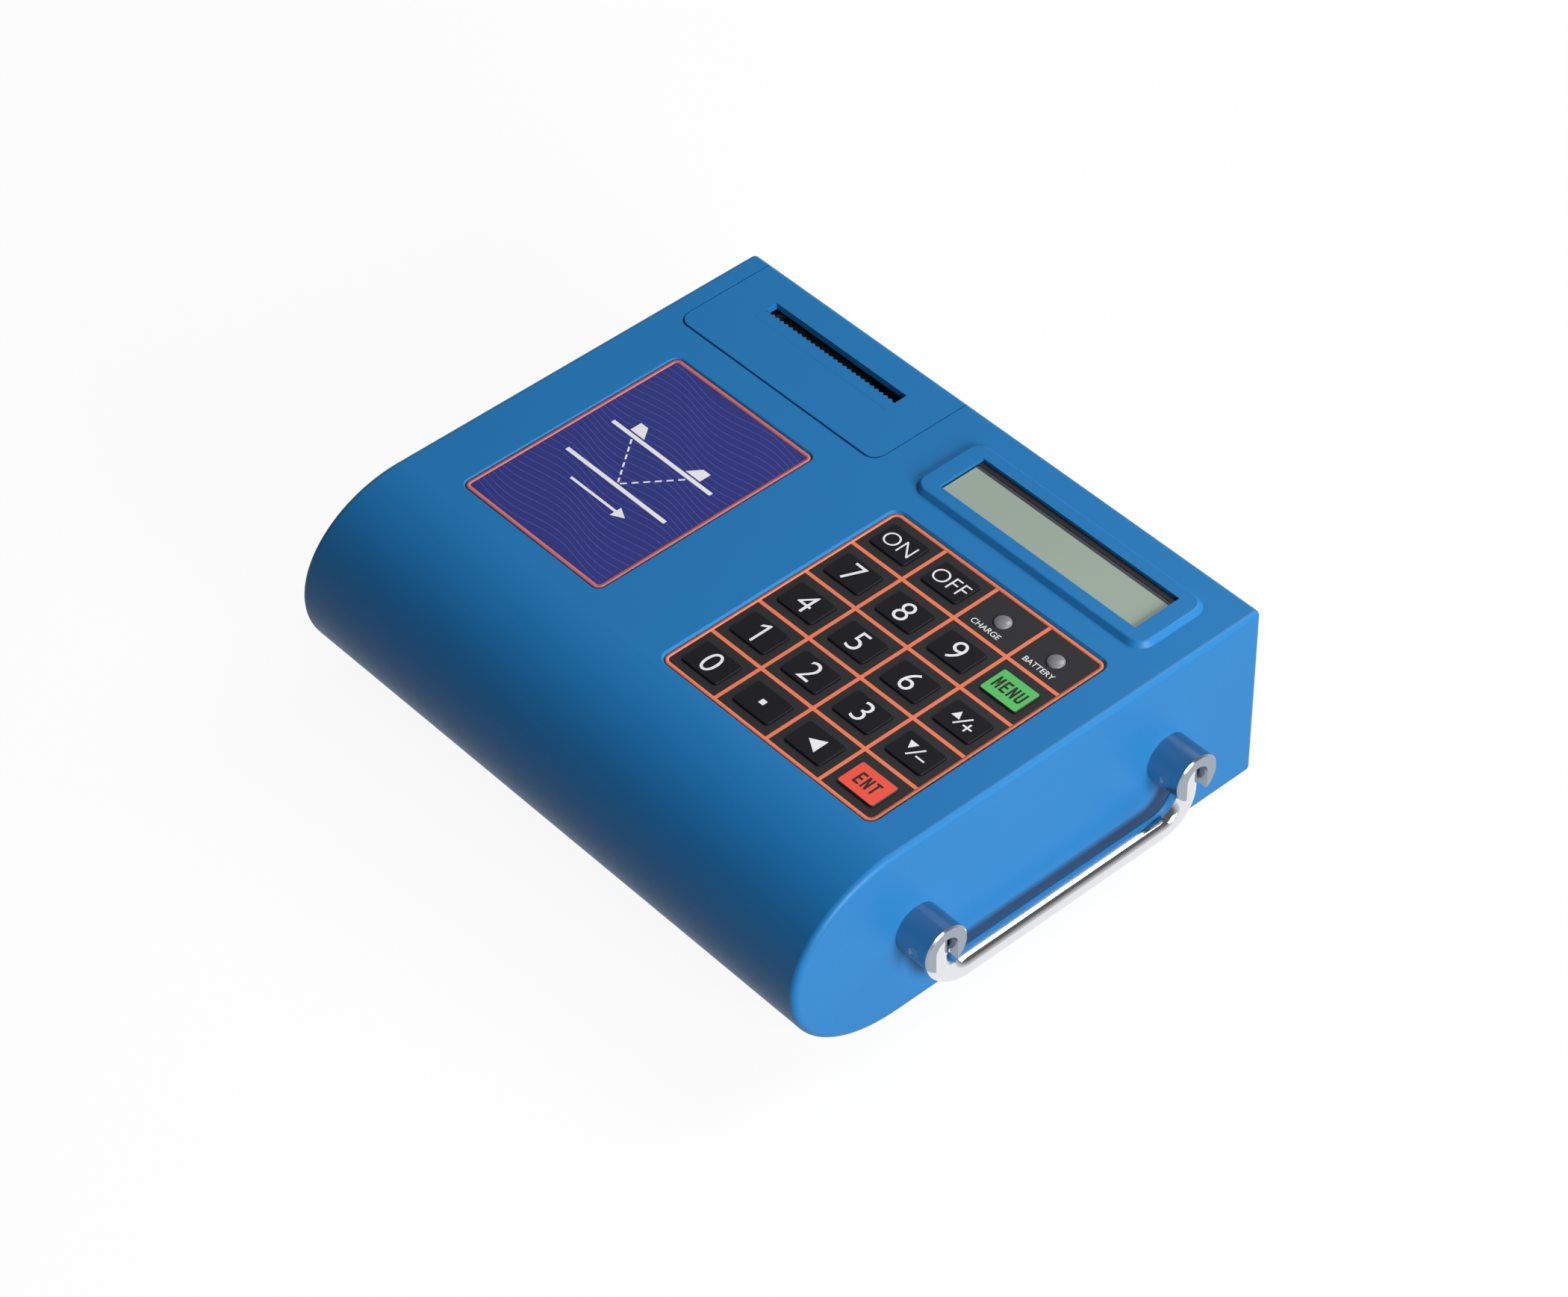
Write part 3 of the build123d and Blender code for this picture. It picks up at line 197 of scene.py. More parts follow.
lamp_grey = plastic("lamp_grey", colour(126, 126, 132), colour(118, 118, 125), 0.3, 0.5, 0.001)
print("plastics made")

# %% [markdown]
# Metal shows how it was made. Turned and drawn parts carry fine lines along one axis, cast or
# plated ones don't. The lines are noise that is stretched hard along that axis, used for the
# roughness and a very shallow relief.
# %% Metals


def metal(name, base, roughness, stretch=(1, 1, 1), line_mm=0.2, depth_mm=0.002, swing=0.08):
    """Metal with fine lines: a small number in stretch draws them out along that axis."""
    material, tree, bsdf = shader(name, base, roughness, 1.0)
    lines = noise(tree, 1 / (line_mm * mm), 3.0, stretch)
    tree.links.new(spread(tree, lines, max(roughness - swing, 0.02), roughness + swing),
                   bsdf.inputs["Roughness"])
    relief(tree, bsdf, lines, depth_mm)
    return material


handle_chrome = metal("handle_chrome", colour(228, 229, 232), 0.07, (1, 1, 1), 6.0, 0.0, 0.02)
post_steel = metal("post_steel", colour(160, 168, 178), 0.2, (0.05, 1, 1), 0.6, 0.0004, 0.04)
screw_steel = metal("screw_steel", colour(176, 178, 182), 0.30)
frame_steel = metal("frame_steel", colour(186, 188, 190), 0.34, (1, 0.1, 1))
dome_steel = metal("dome_steel", colour(196, 196, 198), 0.2)
motor_steel = metal("motor_steel", colour(168, 170, 174), 0.35, (0.1, 1, 1))
head_aluminium = metal("head_aluminium", colour(196, 198, 202), 0.38, (0.1, 1, 1))
pinion_brass = metal("pinion_brass", colour(206, 168, 96), 0.3)
standoff_brass = metal("standoff_brass", colour(206, 172, 104), 0.3)
socket_nickel = metal("socket_nickel", colour(198, 196, 190), 0.24, (1, 1, 1), 0.4, 0.002, 0.05)
cell_can = plastic("cell_can", colour(70, 130, 84), colour(60, 118, 74), 0.35, 0.8, 0.002)
board_green = plastic("board_green", colour(26, 92, 52), colour(20, 80, 44), 0.34, 0.8, 0.006)
paper_white = plastic("paper_white", colour(238, 238, 234), colour(230, 230, 226), 0.85, 0.3, 0.01)
print("metals made")

# %% [markdown]
# The display is a reflective liquid crystal: a grey-green cell behind a clear front. It is
# smooth and glossy, and its colour drifts a little from one end to the other.
# %% Display glass


def display_cell():
    """Grey-green cell with a clear gloss over it."""
    material, tree, bsdf = shader("display_glass", colour(158, 172, 158), 0.32,
                                  settings={"Coat Weight": 0.6, "Coat Roughness": 0.06})
    vary(tree, bsdf, noise(tree, 14.0, 1.0), colour(160, 174, 158), colour(150, 166, 156))
    return material


display_glass = display_cell()
label_indigo = plastic("label_indigo", colour(46, 54, 130), colour(40, 44, 120), 0.36, 0.4, 0.002)
key_green = plastic("key_green", colour(22, 21, 26), colour(19, 18, 23), 0.5, 0.3, 0.003)
key_red = plastic("key_red", colour(22, 21, 26), colour(19, 18, 23), 0.5, 0.3, 0.003)
print("display and label made")

# %% [markdown]
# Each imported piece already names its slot. The finish of the same name goes into it, so a
# piece that is added to the model later is dressed too.
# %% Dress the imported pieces
def plain_name(name):
    """A material's name without the number that Blender adds."""
    return name.split(".")[0]


finishes = {
    plain_name(m.name): m for m in (
        case_blue, foot_rubber, key_black, keypad_film, keypad_black, gear_plastic, spindle_plastic,
        socket_black, bezel_black, platen_rubber, lamp_grey, handle_chrome, post_steel, screw_steel,
        frame_steel, dome_steel, motor_steel, head_aluminium, pinion_brass, standoff_brass,
        socket_nickel, cell_can, board_green, paper_white, display_glass, label_indigo, key_green, key_red,
    )
}
for node in nodes.values():
    for slot in node.material_slots:
        slot.material = finishes[plain_name(slot.material.name)]
print("dressed", len(nodes), "pieces")

# %% [markdown]
# Print on the keys and the sheet is ink: a layer a few hundredths of a millimetre thick. It is
# made as real thin plates, so it stays sharp at any distance and rides down with its key.
# %% Inks
ink_t = 0.03 * mm
ink_sink = 0.01 * mm


def ink(name, base, roughness=0.45):
    """Screen-printed ink with a faint unevenness."""
    return plastic(name, base, base, roughness, 0.25, 0.002)


ink_white = ink("ink_white", colour(236, 236, 240))
ink_orange = ink("ink_orange", colour(235, 122, 84))
ink_green = ink("ink_green", colour(84, 186, 94))
ink_red = ink("ink_red", colour(236, 82, 62))
ink_dark = ink("ink_dark", colour(24, 26, 24))
ink_rose = ink("ink_rose", colour(204, 108, 104))
ink_line = ink("ink_line", colour(76, 88, 172))


def finished(name, mesh, material, body):
    """A mesh as a finished piece that rides on a body."""
    piece = bpy.data.objects.new(name, mesh)
    bpy.context.scene.collection.objects.link(piece)
    mesh.materials.clear()
    mesh.materials.append(material)
    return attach(piece, body)


def plate_into(bm, outline, z):
    """One flat plate of ink with this outline, added to a mesh."""
    low = [bm.verts.new((x, y, z - ink_sink)) for x, y in outline]
    face = bm.faces.new(low)
    face.normal_update()
    if face.normal.z > 0:
        face.normal_flip()
    grown = bmesh.ops.extrude_face_region(bm, geom=[face])
    top = [v for v in grown["geom"] if isinstance(v, bmesh.types.BMVert)]
    bmesh.ops.translate(bm, verts=top, vec=(0, 0, ink_t + ink_sink))


def plates(name, outlines, z, material, body):
    """Several flat plates of ink as one piece."""
    bm = bmesh.new()
    for outline in outlines:
        plate_into(bm, outline, z)
    bmesh.ops.recalc_face_normals(bm, faces=bm.faces)
    mesh = bpy.data.meshes.new(name)
    bm.to_mesh(mesh)
    bm.free()
    return finished(name, mesh, material, body)


def box_outline(x, y, width, depth):
    """A rectangle about its middle."""
    w, d = width / 2, depth / 2
    return [(x - w, y - d), (x + w, y - d), (x + w, y + d), (x - w, y + d)]


def round_outline(x, y, width, depth, radius, steps=5):
    """A rectangle with rounded corners about its middle."""
    points = []
    for corner, (sx, sy) in enumerate(((1, 1), (-1, 1), (-1, -1), (1, -1))):
        cx = x + sx * (width / 2 - radius)
        cy = y + sy * (depth / 2 - radius)
        for i in range(steps + 1):
            angle = pi / 2 * (corner + i / steps)
            points.append((cx + radius * cos(angle), cy + radius * sin(angle)))
    return points


def printed_word(name, word, height, x, y, z, material, body, weight=0.0):
    """A printed word centred on a place, with capitals of that height. Weight grows its strokes."""
    capital_share = 0.73
    font = bpy.data.curves.new(name, "FONT")
    font.body = word
    font.size = height / capital_share
    font.align_x = "CENTER"
    font.align_y = "CENTER"
    font.offset = weight
    font.extrude = (ink_t + ink_sink) / 2
    font.resolution_u = 6
    text = bpy.data.objects.new(name + "_text", font)
    bpy.context.scene.collection.objects.link(text)
    shape = text.evaluated_get(bpy.context.evaluated_depsgraph_get())
    mesh = bpy.data.meshes.new_from_object(shape)
    bpy.data.objects.remove(text)
    middle_x = (min(v.co.x for v in mesh.vertices) + max(v.co.x for v in mesh.vertices)) / 2
    middle_y = (min(v.co.y for v in mesh.vertices) + max(v.co.y for v in mesh.vertices)) / 2
    mesh.transform(Matrix.Translation((x - middle_x, y - middle_y, z + (ink_t - ink_sink) / 2)))
    mesh.name = name
    return finished(name, mesh, material, body)


print("inks and print helpers ready")

# %% [markdown]
# The legends are plain digits and words. Each sits in the middle of its key's raised pad, so its
# place comes from the key's own box, and it rides on the key's body.
# %% Key legends
digit_h = 8.8 * mm
word_h = 6.0 * mm
thin_stroke = -0.1 * mm
caption_h = 2.2 * mm
key_words = {"key_on": "ON", "key_off": "OFF"}
key_words.update({"key_" + str(i): str(i) for i in range(10) if i != 1})


def key_middle(name):
    """Middle of a key's top."""
    low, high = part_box(name)
    return (low.x + high.x) / 2, (low.y + high.y) / 2, high.z


for name, word in key_words.items():
    x, y, z = key_middle(name)
    height = word_h if len(word) > 1 else digit_h
    piece = printed_word("legend_" + name, word, height, x, y, z, ink_white, name, thin_stroke)
print("legends:", len(key_words))

# %% [markdown]
# Four keys carry signs instead of digits: a point, an arrow to the left, and an arrow with a
# plus or a minus on either side of a slanted stroke. The one gets a flag, so it is drawn too.
# %% Key signs
stroke = 0.6 * mm
step_side = 2.9 * mm
step_rise = 1.1 * mm
step_arrow_w = 3.4 * mm
step_arrow_h = 3.0 * mm
slash_x = 1.7 * mm
slash_y = 2.6 * mm
plus_arm = 1.8 * mm
dot_side = 2.0 * mm
left_arrow_w = 6.0 * mm
left_arrow_h = 5.2 * mm


def digit_one(x, y, height):
    """A one with a flag, which the font's plain stroke lacks."""
    right, left = 0.12 * height, 0.02 * height
    points = [(left, -height / 2), (right, -height / 2), (right, height / 2),
              (left + 0.03 * height, height / 2), (-0.2 * height, 0.33 * height),
              (-0.2 * height, 0.22 * height), (left, 0.36 * height)]
    return [(x + px, y + py) for px, py in points]


def triangle(x, y, width, height, turn):
    """An isosceles triangle about its middle, pointing up and then turned."""
    points = [(-width / 2, -height / 2), (width / 2, -height / 2), (0, height / 2)]
    return [(x + px * cos(turn) - py * sin(turn), y + px * sin(turn) + py * cos(turn)) for px, py in points]


def bar(x0, y0, x1, y1, width):
    """A straight stroke between two points."""
    along = Vector((x1 - x0, y1 - y0)).normalized() * width / 2
    return [(x0 + along.y, y0 - along.x), (x1 + along.y, y1 - along.x),
            (x1 - along.y, y1 + along.x), (x0 - along.y, y0 + along.x)]


def step_sign(x, y, turn, plus):
    """Small arrow, slanted stroke, and a plus or a minus."""
    arrow = triangle(x - step_side, y + step_rise, step_arrow_w, step_arrow_h, turn)
    slash = bar(x - slash_x, y - slash_y, x + slash_x, y + slash_y, stroke)
    sign_x, sign_y, arm = x + step_side, y - step_rise, plus_arm
    parts = [arrow, slash]
    if plus:
        parts.append(box_outline(sign_x, sign_y, 2 * arm, stroke))
        parts.append(box_outline(sign_x, sign_y + (arm + stroke / 2) / 2, stroke, arm - stroke / 2))
        parts.append(box_outline(sign_x, sign_y - (arm + stroke / 2) / 2, stroke, arm - stroke / 2))
    else:
        parts.append(box_outline(sign_x, sign_y, 2 * arm, stroke))
    return parts


def sign_on(name, outlines):
    """Signs of one key as one piece."""
    piece = plates("legend_" + name, outlines, key_middle(name)[2], ink_white, name)


x, y, z = key_middle("key_1")
sign_on("key_1", [digit_one(x, y, digit_h)])
x, y, z = key_middle("key_dot")
sign_on("key_dot", [box_outline(x, y, dot_side, dot_side)])
x, y, z = key_middle("key_left")
sign_on("key_left", [triangle(x, y, left_arrow_w, left_arrow_h, pi / 2)])
x, y, z = key_middle("key_up_plus")
sign_on("key_up_plus", step_sign(x, y, 0, True))
x, y, z = key_middle("key_down_minus")
sign_on("key_down_minus", step_sign(x, y, pi, False))
print("signs made")

# %% [markdown]
# Two keys have a colour patch under a dark word. The patch is printed first, then the word on
# top of it, one ink thickness higher. The words are bold and narrow, so their letters are
# outlined one by one on a grid of 0 to 1 across and up, with strokes that don't overlap.
# %% Colour keys
patch_w = 14.8 * mm
patch_d = 10.3 * mm
patch_corner = 0.7 * mm
letter_w = 2.35 * mm
letter_h = 4.9 * mm
letter_gap = 0.75 * mm
stem = 0.31
beam = 0.16
bold_letters = {
    "M": [(0, 0), (stem, 0), (stem, 0.6), (0.5, 0.2), (1 - stem, 0.6), (1 - stem, 0), (1, 0), (1, 1),
          (1 - stem, 1), (0.5, 0.52), (stem, 1), (0, 1)],
    "E": [(0, 0), (1, 0), (1, beam), (stem, beam), (stem, 0.5 - beam / 2), (0.9, 0.5 - beam / 2),
          (0.9, 0.5 + beam / 2), (stem, 0.5 + beam / 2), (stem, 1 - beam), (1, 1 - beam), (1, 1), (0, 1)],
    "N": [(0, 0), (stem, 0), (stem, 0.58), (1 - stem, 0), (1, 0), (1, 1), (1 - stem, 1),
          (1 - stem, 0.42), (stem, 1), (0, 1)],
    "U": [(0, 0.16), (0.2, 0), (0.8, 0), (1, 0.16), (1, 1), (1 - stem, 1), (1 - stem, 0.24),
          (0.6, beam), (0.4, beam), (stem, 0.24), (stem, 1), (0, 1)],
    "T": [(0.5 - stem / 2, 0), (0.5 + stem / 2, 0), (0.5 + stem / 2, 1 - beam), (1, 1 - beam),
          (1, 1), (0, 1), (0, 1 - beam), (0.5 - stem / 2, 1 - beam)],
}


def bold_word(word, x, y):
    """Outlines of a bold narrow word about its middle."""
    step = letter_w + letter_gap
    first = x - (step * len(word) - letter_gap) / 2
    return [[(first + i * step + px * letter_w, y + (py - 0.5) * letter_h)
             for px, py in bold_letters[letter]] for i, letter in enumerate(word)]


patch_words = {"key_menu": ("MENU", ink_green), "key_enter": ("ENT", ink_red)}
for name, (word, patch_ink) in patch_words.items():
    x, y, z = key_middle(name)
    outline = round_outline(x, y, patch_w, patch_d, patch_corner)
    patch = plates("patch_" + name, [outline], z, patch_ink, name)
    text = plates("legend_" + name, bold_word(word, x, y), z + ink_t, ink_dark, name)
print("colour keys made")

# %% [markdown]
# The keypad's orange print is a frame with a grid inside it. It repeats by a rule, so Geometry
# Nodes make it: a filleted rectangle swept with a flat profile, and bars instanced on two rows
# of points. The inputs are the sheet's size, the counts and the line's width.
# %% Grid of the keypad


def gn_link(tree, source, target):
    """Joins two sockets of a geometry tree."""
    tree.links.new(source, target)


def new_tree(name, inputs):
    """An empty geometry tree with named float or integer inputs. Gives the tree and its ends."""
    tree = bpy.data.node_groups.new(name, "GeometryNodeTree")
    for title, kind in inputs:
        tree.interface.new_socket(title, in_out="INPUT", socket_type=kind)
    tree.interface.new_socket("Geometry", in_out="OUTPUT", socket_type="NodeSocketGeometry")
    return tree, tree.nodes.new("NodeGroupInput"), tree.nodes.new("NodeGroupOutput")


def maths(tree, operation, a, b=None):
    """A maths node on two sockets or numbers. Gives its output."""
    node = tree.nodes.new("ShaderNodeMath")
    node.operation = operation
    for i, value in enumerate((a, b)):
        if value is None:
            continue
        if isinstance(value, (int, float)):
            node.inputs[i].default_value = value
        else:
            tree.links.new(value, node.inputs[i])
    return node.outputs[0]


def vector(tree, x=0.0, y=0.0, z=0.0):
    """A vector from three sockets or numbers."""
    node = tree.nodes.new("ShaderNodeCombineXYZ")
    for i, value in enumerate((x, y, z)):
        if isinstance(value, (int, float)):
            node.inputs[i].default_value = value
        else:
            tree.links.new(value, node.inputs[i])
    return node.outputs[0]


def rounded_frame(tree, width, depth, line, radius, thick):
    """A flat frame with rounded corners, its outer size width by depth."""
    quad = tree.nodes.new("GeometryNodeCurvePrimitiveQuadrilateral")
    gn_link(tree, maths(tree, "SUBTRACT", width, line), quad.inputs["Width"])
    gn_link(tree, maths(tree, "SUBTRACT", depth, line), quad.inputs["Height"])
    fillet = tree.nodes.new("GeometryNodeFilletCurve")
    fillet.mode = "POLY"
    fillet.inputs["Count"].default_value = 8
    gn_link(tree, quad.outputs[0], fillet.inputs["Curve"])
    middle_radius = maths(tree, "SUBTRACT", radius, maths(tree, "MULTIPLY", line, 0.5))
    gn_link(tree, middle_radius, fillet.inputs["Radius"])
    profile = tree.nodes.new("GeometryNodeCurvePrimitiveQuadrilateral")
    gn_link(tree, line, profile.inputs["Width"])
    gn_link(tree, thick, profile.inputs["Height"])
    swept = tree.nodes.new("GeometryNodeCurveToMesh")
    gn_link(tree, fillet.outputs[0], swept.inputs["Curve"])
    gn_link(tree, profile.outputs[0], swept.inputs["Profile Curve"])
    return swept.outputs[0]


def bar_row(tree, count, start, step, size):
    """Bars of one size on a row of points."""
    row = tree.nodes.new("GeometryNodeMeshLine")
    gn_link(tree, count, row.inputs["Count"])
    gn_link(tree, start, row.inputs["Start Location"])
    gn_link(tree, step, row.inputs["Offset"])
    cube = tree.nodes.new("GeometryNodeMeshCube")
    gn_link(tree, size, cube.inputs["Size"])
    put = tree.nodes.new("GeometryNodeInstanceOnPoints")
    gn_link(tree, row.outputs[0], put.inputs["Points"])
    gn_link(tree, cube.outputs[0], put.inputs["Instance"])
    return put.outputs[0]


def tree_end(tree, end, parts, material, place):
    """Joins the parts, moves them to their place and gives them their material."""
    join = tree.nodes.new("GeometryNodeJoinGeometry")
    for part in parts:
        gn_link(tree, part, join.inputs[0])
    move = tree.nodes.new("GeometryNodeTransform")
    move.inputs["Translation"].default_value = place
    gn_link(tree, join.outputs[0], move.inputs["Geometry"])
    real = tree.nodes.new("GeometryNodeRealizeInstances")
    gn_link(tree, move.outputs[0], real.inputs[0])
    paint = tree.nodes.new("GeometryNodeSetMaterial")
    paint.inputs["Material"].default_value = material
    gn_link(tree, real.outputs[0], paint.inputs["Geometry"])
    gn_link(tree, paint.outputs[0], end.inputs["Geometry"])


def baked(name, tree, values, material, body):
    """Runs a geometry tree with named values and keeps the result as a plain mesh."""
    host = bpy.data.objects.new(name + "_host", bpy.data.meshes.new(name + "_host"))
    bpy.context.scene.collection.objects.link(host)
    modifier = host.modifiers.new("tree", "NODES")
    modifier.node_group = tree
    for item in tree.interface.items_tree:
        if item.in_out == "INPUT" and item.name in values:
            modifier[item.identifier] = values[item.name]
    shape = host.evaluated_get(bpy.context.evaluated_depsgraph_get())
    mesh = bpy.data.meshes.new_from_object(shape)
    bpy.data.objects.remove(host)
    return finished(name, mesh, material, body)


def grid_tree(material, place):
    """Frame and inner bars of the keypad's print."""
    tree, start, end = new_tree("keypad_print", [
        ("Width", "NodeSocketFloat"), ("Depth", "NodeSocketFloat"), ("Line", "NodeSocketFloat"),
        ("Radius", "NodeSocketFloat"), ("Thickness", "NodeSocketFloat"), ("Pitch X", "NodeSocketFloat"),
        ("Pitch Y", "NodeSocketFloat"), ("Columns", "NodeSocketInt"), ("Rows", "NodeSocketInt")])
    put = start.outputs
    ring = rounded_frame(tree, put["Width"], put["Depth"], put["Line"], put["Radius"], put["Thickness"])
    inner_w = maths(tree, "SUBTRACT", put["Width"], maths(tree, "MULTIPLY", put["Line"], 1.5))
    inner_d = maths(tree, "SUBTRACT", put["Depth"], maths(tree, "MULTIPLY", put["Line"], 1.5))
    parts = [ring]
    for pitch, lines, axis in ((put["Pitch X"], put["Columns"], 0), (put["Pitch Y"], put["Rows"], 1)):
        count = maths(tree, "SUBTRACT", lines, 1.0)
        half = maths(tree, "MULTIPLY", maths(tree, "SUBTRACT", count, 1.0), -0.5)
        first = maths(tree, "MULTIPLY", half, pitch)
        if axis == 0:
            low = maths(tree, "MULTIPLY", put["Thickness"], 0.9)
            bars = bar_row(tree, count, vector(tree, x=first), vector(tree, x=pitch),
                           vector(tree, put["Line"], inner_d, low))
        else:
            low = maths(tree, "MULTIPLY", put["Thickness"], 0.8)
            bars = bar_row(tree, count, vector(tree, y=first), vector(tree, y=pitch),
                           vector(tree, inner_w, put["Line"], low))
        parts.append(bars)
    tree_end(tree, end, parts, material, place)
    return tree


sheet_low, sheet_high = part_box("keypad_overlay")
grid_line = 1.3 * mm
grid_corner = 3.0 * mm
grid_place = ((sheet_low.x + sheet_high.x) / 2, (sheet_low.y + sheet_high.y) / 2, sheet_high.z)
key_pitch_x = key_middle("key_8")[0] - key_middle("key_7")[0]
key_pitch_y = key_middle("key_7")[1] - key_middle("key_4")[1]
grid = baked("keypad_grid", grid_tree(ink_orange, grid_place), {
    "Width": sheet_high.x - sheet_low.x, "Depth": sheet_high.y - sheet_low.y, "Line": grid_line,
    "Radius": grid_corner, "Thickness": 2 * ink_t, "Pitch X": key_pitch_x, "Pitch Y": key_pitch_y,
    "Columns": 4, "Rows": 5}, ink_orange, "housing")
print("grid faces:", len(grid.data.polygons))

# %% [markdown]
# The two lamps have small captions below them, towards the front left of their cells.
# %% Lamp captions
lamp_low, lamp_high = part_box("indicator_lamps")
lamp_y = (lamp_low.y + lamp_high.y) / 2
lens_flange_r = 3.4 * mm
caption_left = 1.5 * mm
caption_drop = 5.6 * mm
captions = {"caption_charge": ("CHARGE", lamp_low.x + lens_flange_r),
            "caption_battery": ("BATTERY", lamp_high.x - lens_flange_r)}
for name, (word, lamp_x) in captions.items():
    piece = printed_word(name, word, caption_h, lamp_x - caption_left, lamp_y - caption_drop,
                         sheet_high.z, ink_white, "housing")
print("captions made")

# %% [markdown]
# An indicator lamp is a clear-grey moulded lens on a flange: a turned shape. Its outline is
# given from the axis at the foot to the axis at the top, and rings of it are joined by faces.
# The dome over the sheet is shallow, so it is an ellipse and not a half ball.
# %% Lamp lenses
lens_r = 2.9 * mm
lens_flange_t = 1.0 * mm
dome_steps = 10


def turned_into(bm, x, y, outline, steps=40):
    """A turned shape about an upright axis at that place, added to a mesh."""
    rings = []
    for r, z in outline:
        turns = [2 * pi * i / steps for i in range(steps)] if r > 0 else [0]
        rings.append([bm.verts.new((x + r * cos(a), y + r * sin(a), z)) for a in turns])
    for low, high in zip(rings, rings[1:]):
        for i in range(steps):
            j = (i + 1) % steps
            corners = [low[i % len(low)], low[j % len(low)], high[j % len(high)], high[i % len(high)]]
            face = bm.faces.new(list(dict.fromkeys(corners)))
            face.smooth = high[0].co.z > low[0].co.z


lens_outline = [(0, lamp_low.z), (lens_flange_r, lamp_low.z), (lens_flange_r, lamp_low.z + lens_flange_t),
                (lens_r, lamp_low.z + lens_flange_t)]
for i in range(dome_steps):
    rise = pi / 2 * i / dome_steps
    lens_outline.append((lens_r * cos(rise), sheet_high.z + (lamp_high.z - sheet_high.z) * sin(rise)))
lens_outline.append((0, lamp_high.z))
bm = bmesh.new()
for lamp_x in (lamp_low.x + lens_flange_r, lamp_high.x - lens_flange_r):
    turned_into(bm, lamp_x, lamp_y, lens_outline)
bmesh.ops.recalc_face_normals(bm, faces=bm.faces)
lens_mesh = bpy.data.meshes.new("lamp_lenses")
bm.to_mesh(lens_mesh)
bm.free()
lenses = finished("lamp_lenses", lens_mesh, lamp_grey, "housing")
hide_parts("indicator_lamps")
print("lens faces:", len(lens_mesh.polygons))

# %% [markdown]
# The display sits behind a front pane. A dark gasket between the pane and the window's edge
# shows mostly along the back, because the module sits a little towards the front. The pane has
# a small bevel. A dark strip along its back edge only is the cell's edge plus painted shade, where
# the window's back wall shades the pane.
# %% Display front
bezel_low, bezel_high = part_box("lcd_bezel")
case_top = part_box("main_case")[1].z
bezel_rim = 5.0 * mm
pane_gap = 0.1 * mm
pane_deep = 1.1 * mm
pane_drop = 0.2 * mm
pane_bevel = 0.15 * mm
gasket_side = 0.3 * mm
gasket_back = 2.1 * mm
# Width of the dark strip of painted shade along the pane's back edge.
cell_rim_shade = 1.2 * mm
gasket_top = case_top - pane_deep
window = (bezel_low.x + bezel_rim + pane_gap, bezel_low.y + bezel_rim + pane_gap,
          bezel_high.x - bezel_rim - pane_gap, bezel_high.y - bezel_rim - pane_gap)
pane = (window[0] + gasket_side, window[1] + gasket_side, window[2] - gasket_side, window[3] - gasket_back)


def corners_of(area, z):
    """Four corners of an upright rectangle at a height."""
    x0, y0, x1, y1 = area
    return [(x0, y0, z), (x1, y0, z), (x1, y1, z), (x0, y1, z)]


def gasket_mesh(outer, inner, low, high):
    """A frame with a flat top between two rectangles."""
    bm = bmesh.new()
    loops = [[bm.verts.new(p) for p in corners_of(area, z)]
             for area, z in ((outer, low), (outer, high), (inner, high), (inner, low))]
    for k, loop in enumerate(loops):
        after = loops[(k + 1) % 4]
        for i in range(4):
            bm.faces.new((loop[i], loop[(i + 1) % 4], after[(i + 1) % 4], after[i]))
    bmesh.ops.recalc_face_normals(bm, faces=bm.faces)
    mesh = bpy.data.meshes.new("display_gasket")
    bm.to_mesh(mesh)
    bm.free()
    return mesh


def pane_mesh(area, low, high, bevel):
    """A pane with bevelled edges."""
    bm = bmesh.new()
    foot = bm.faces.new([bm.verts.new(p) for p in corners_of(area, low)])
    grown = bmesh.ops.extrude_face_region(bm, geom=[foot])
    top = [v for v in grown["geom"] if isinstance(v, bmesh.types.BMVert)]
    bmesh.ops.translate(bm, verts=top, vec=(0, 0, high - low))
    bmesh.ops.bevel(bm, geom=bm.edges, offset=bevel, segments=2, affect="EDGES")
    bmesh.ops.recalc_face_normals(bm, faces=bm.faces)
    mesh = bpy.data.meshes.new("display_front")
    bm.to_mesh(mesh)
    bm.free()
    return mesh


gasket = finished("display_gasket", gasket_mesh(window, pane, bezel_high.z, gasket_top),
                  keypad_black, "housing")
front = finished("display_front", pane_mesh(pane, bezel_high.z, gasket_top - pane_drop, pane_bevel),
                 display_glass, "housing")
# Painted shade: a dark strip on the pane under the window's back wall. It stands for the cell's edge and
# the wall's shadow.
ink_rim_shade = ink("ink_rim_shade", colour(58, 60, 70))
edge = plates("display_rim_shade", [box_outline((pane[0] + pane[2]) / 2, pane[3] - cell_rim_shade / 2 - pane_bevel,
                                           pane[2] - pane[0] - 2 * pane_bevel, cell_rim_shade)],
              gasket_top - pane_drop, ink_rim_shade, "housing")
print("display front", round((pane[2] - pane[0]) / mm, 1), "by", round((pane[3] - pane[1]) / mm, 1), "mm")

# %% [markdown]
# The label plate of such a meter is printed in two or three inks: a rose border and fine lines
# on indigo. This design is a generic one: even waves, like ripples in a pipe, and a textbook
# diagram of two transducers that send a beam across a pipe.
# %% Label print


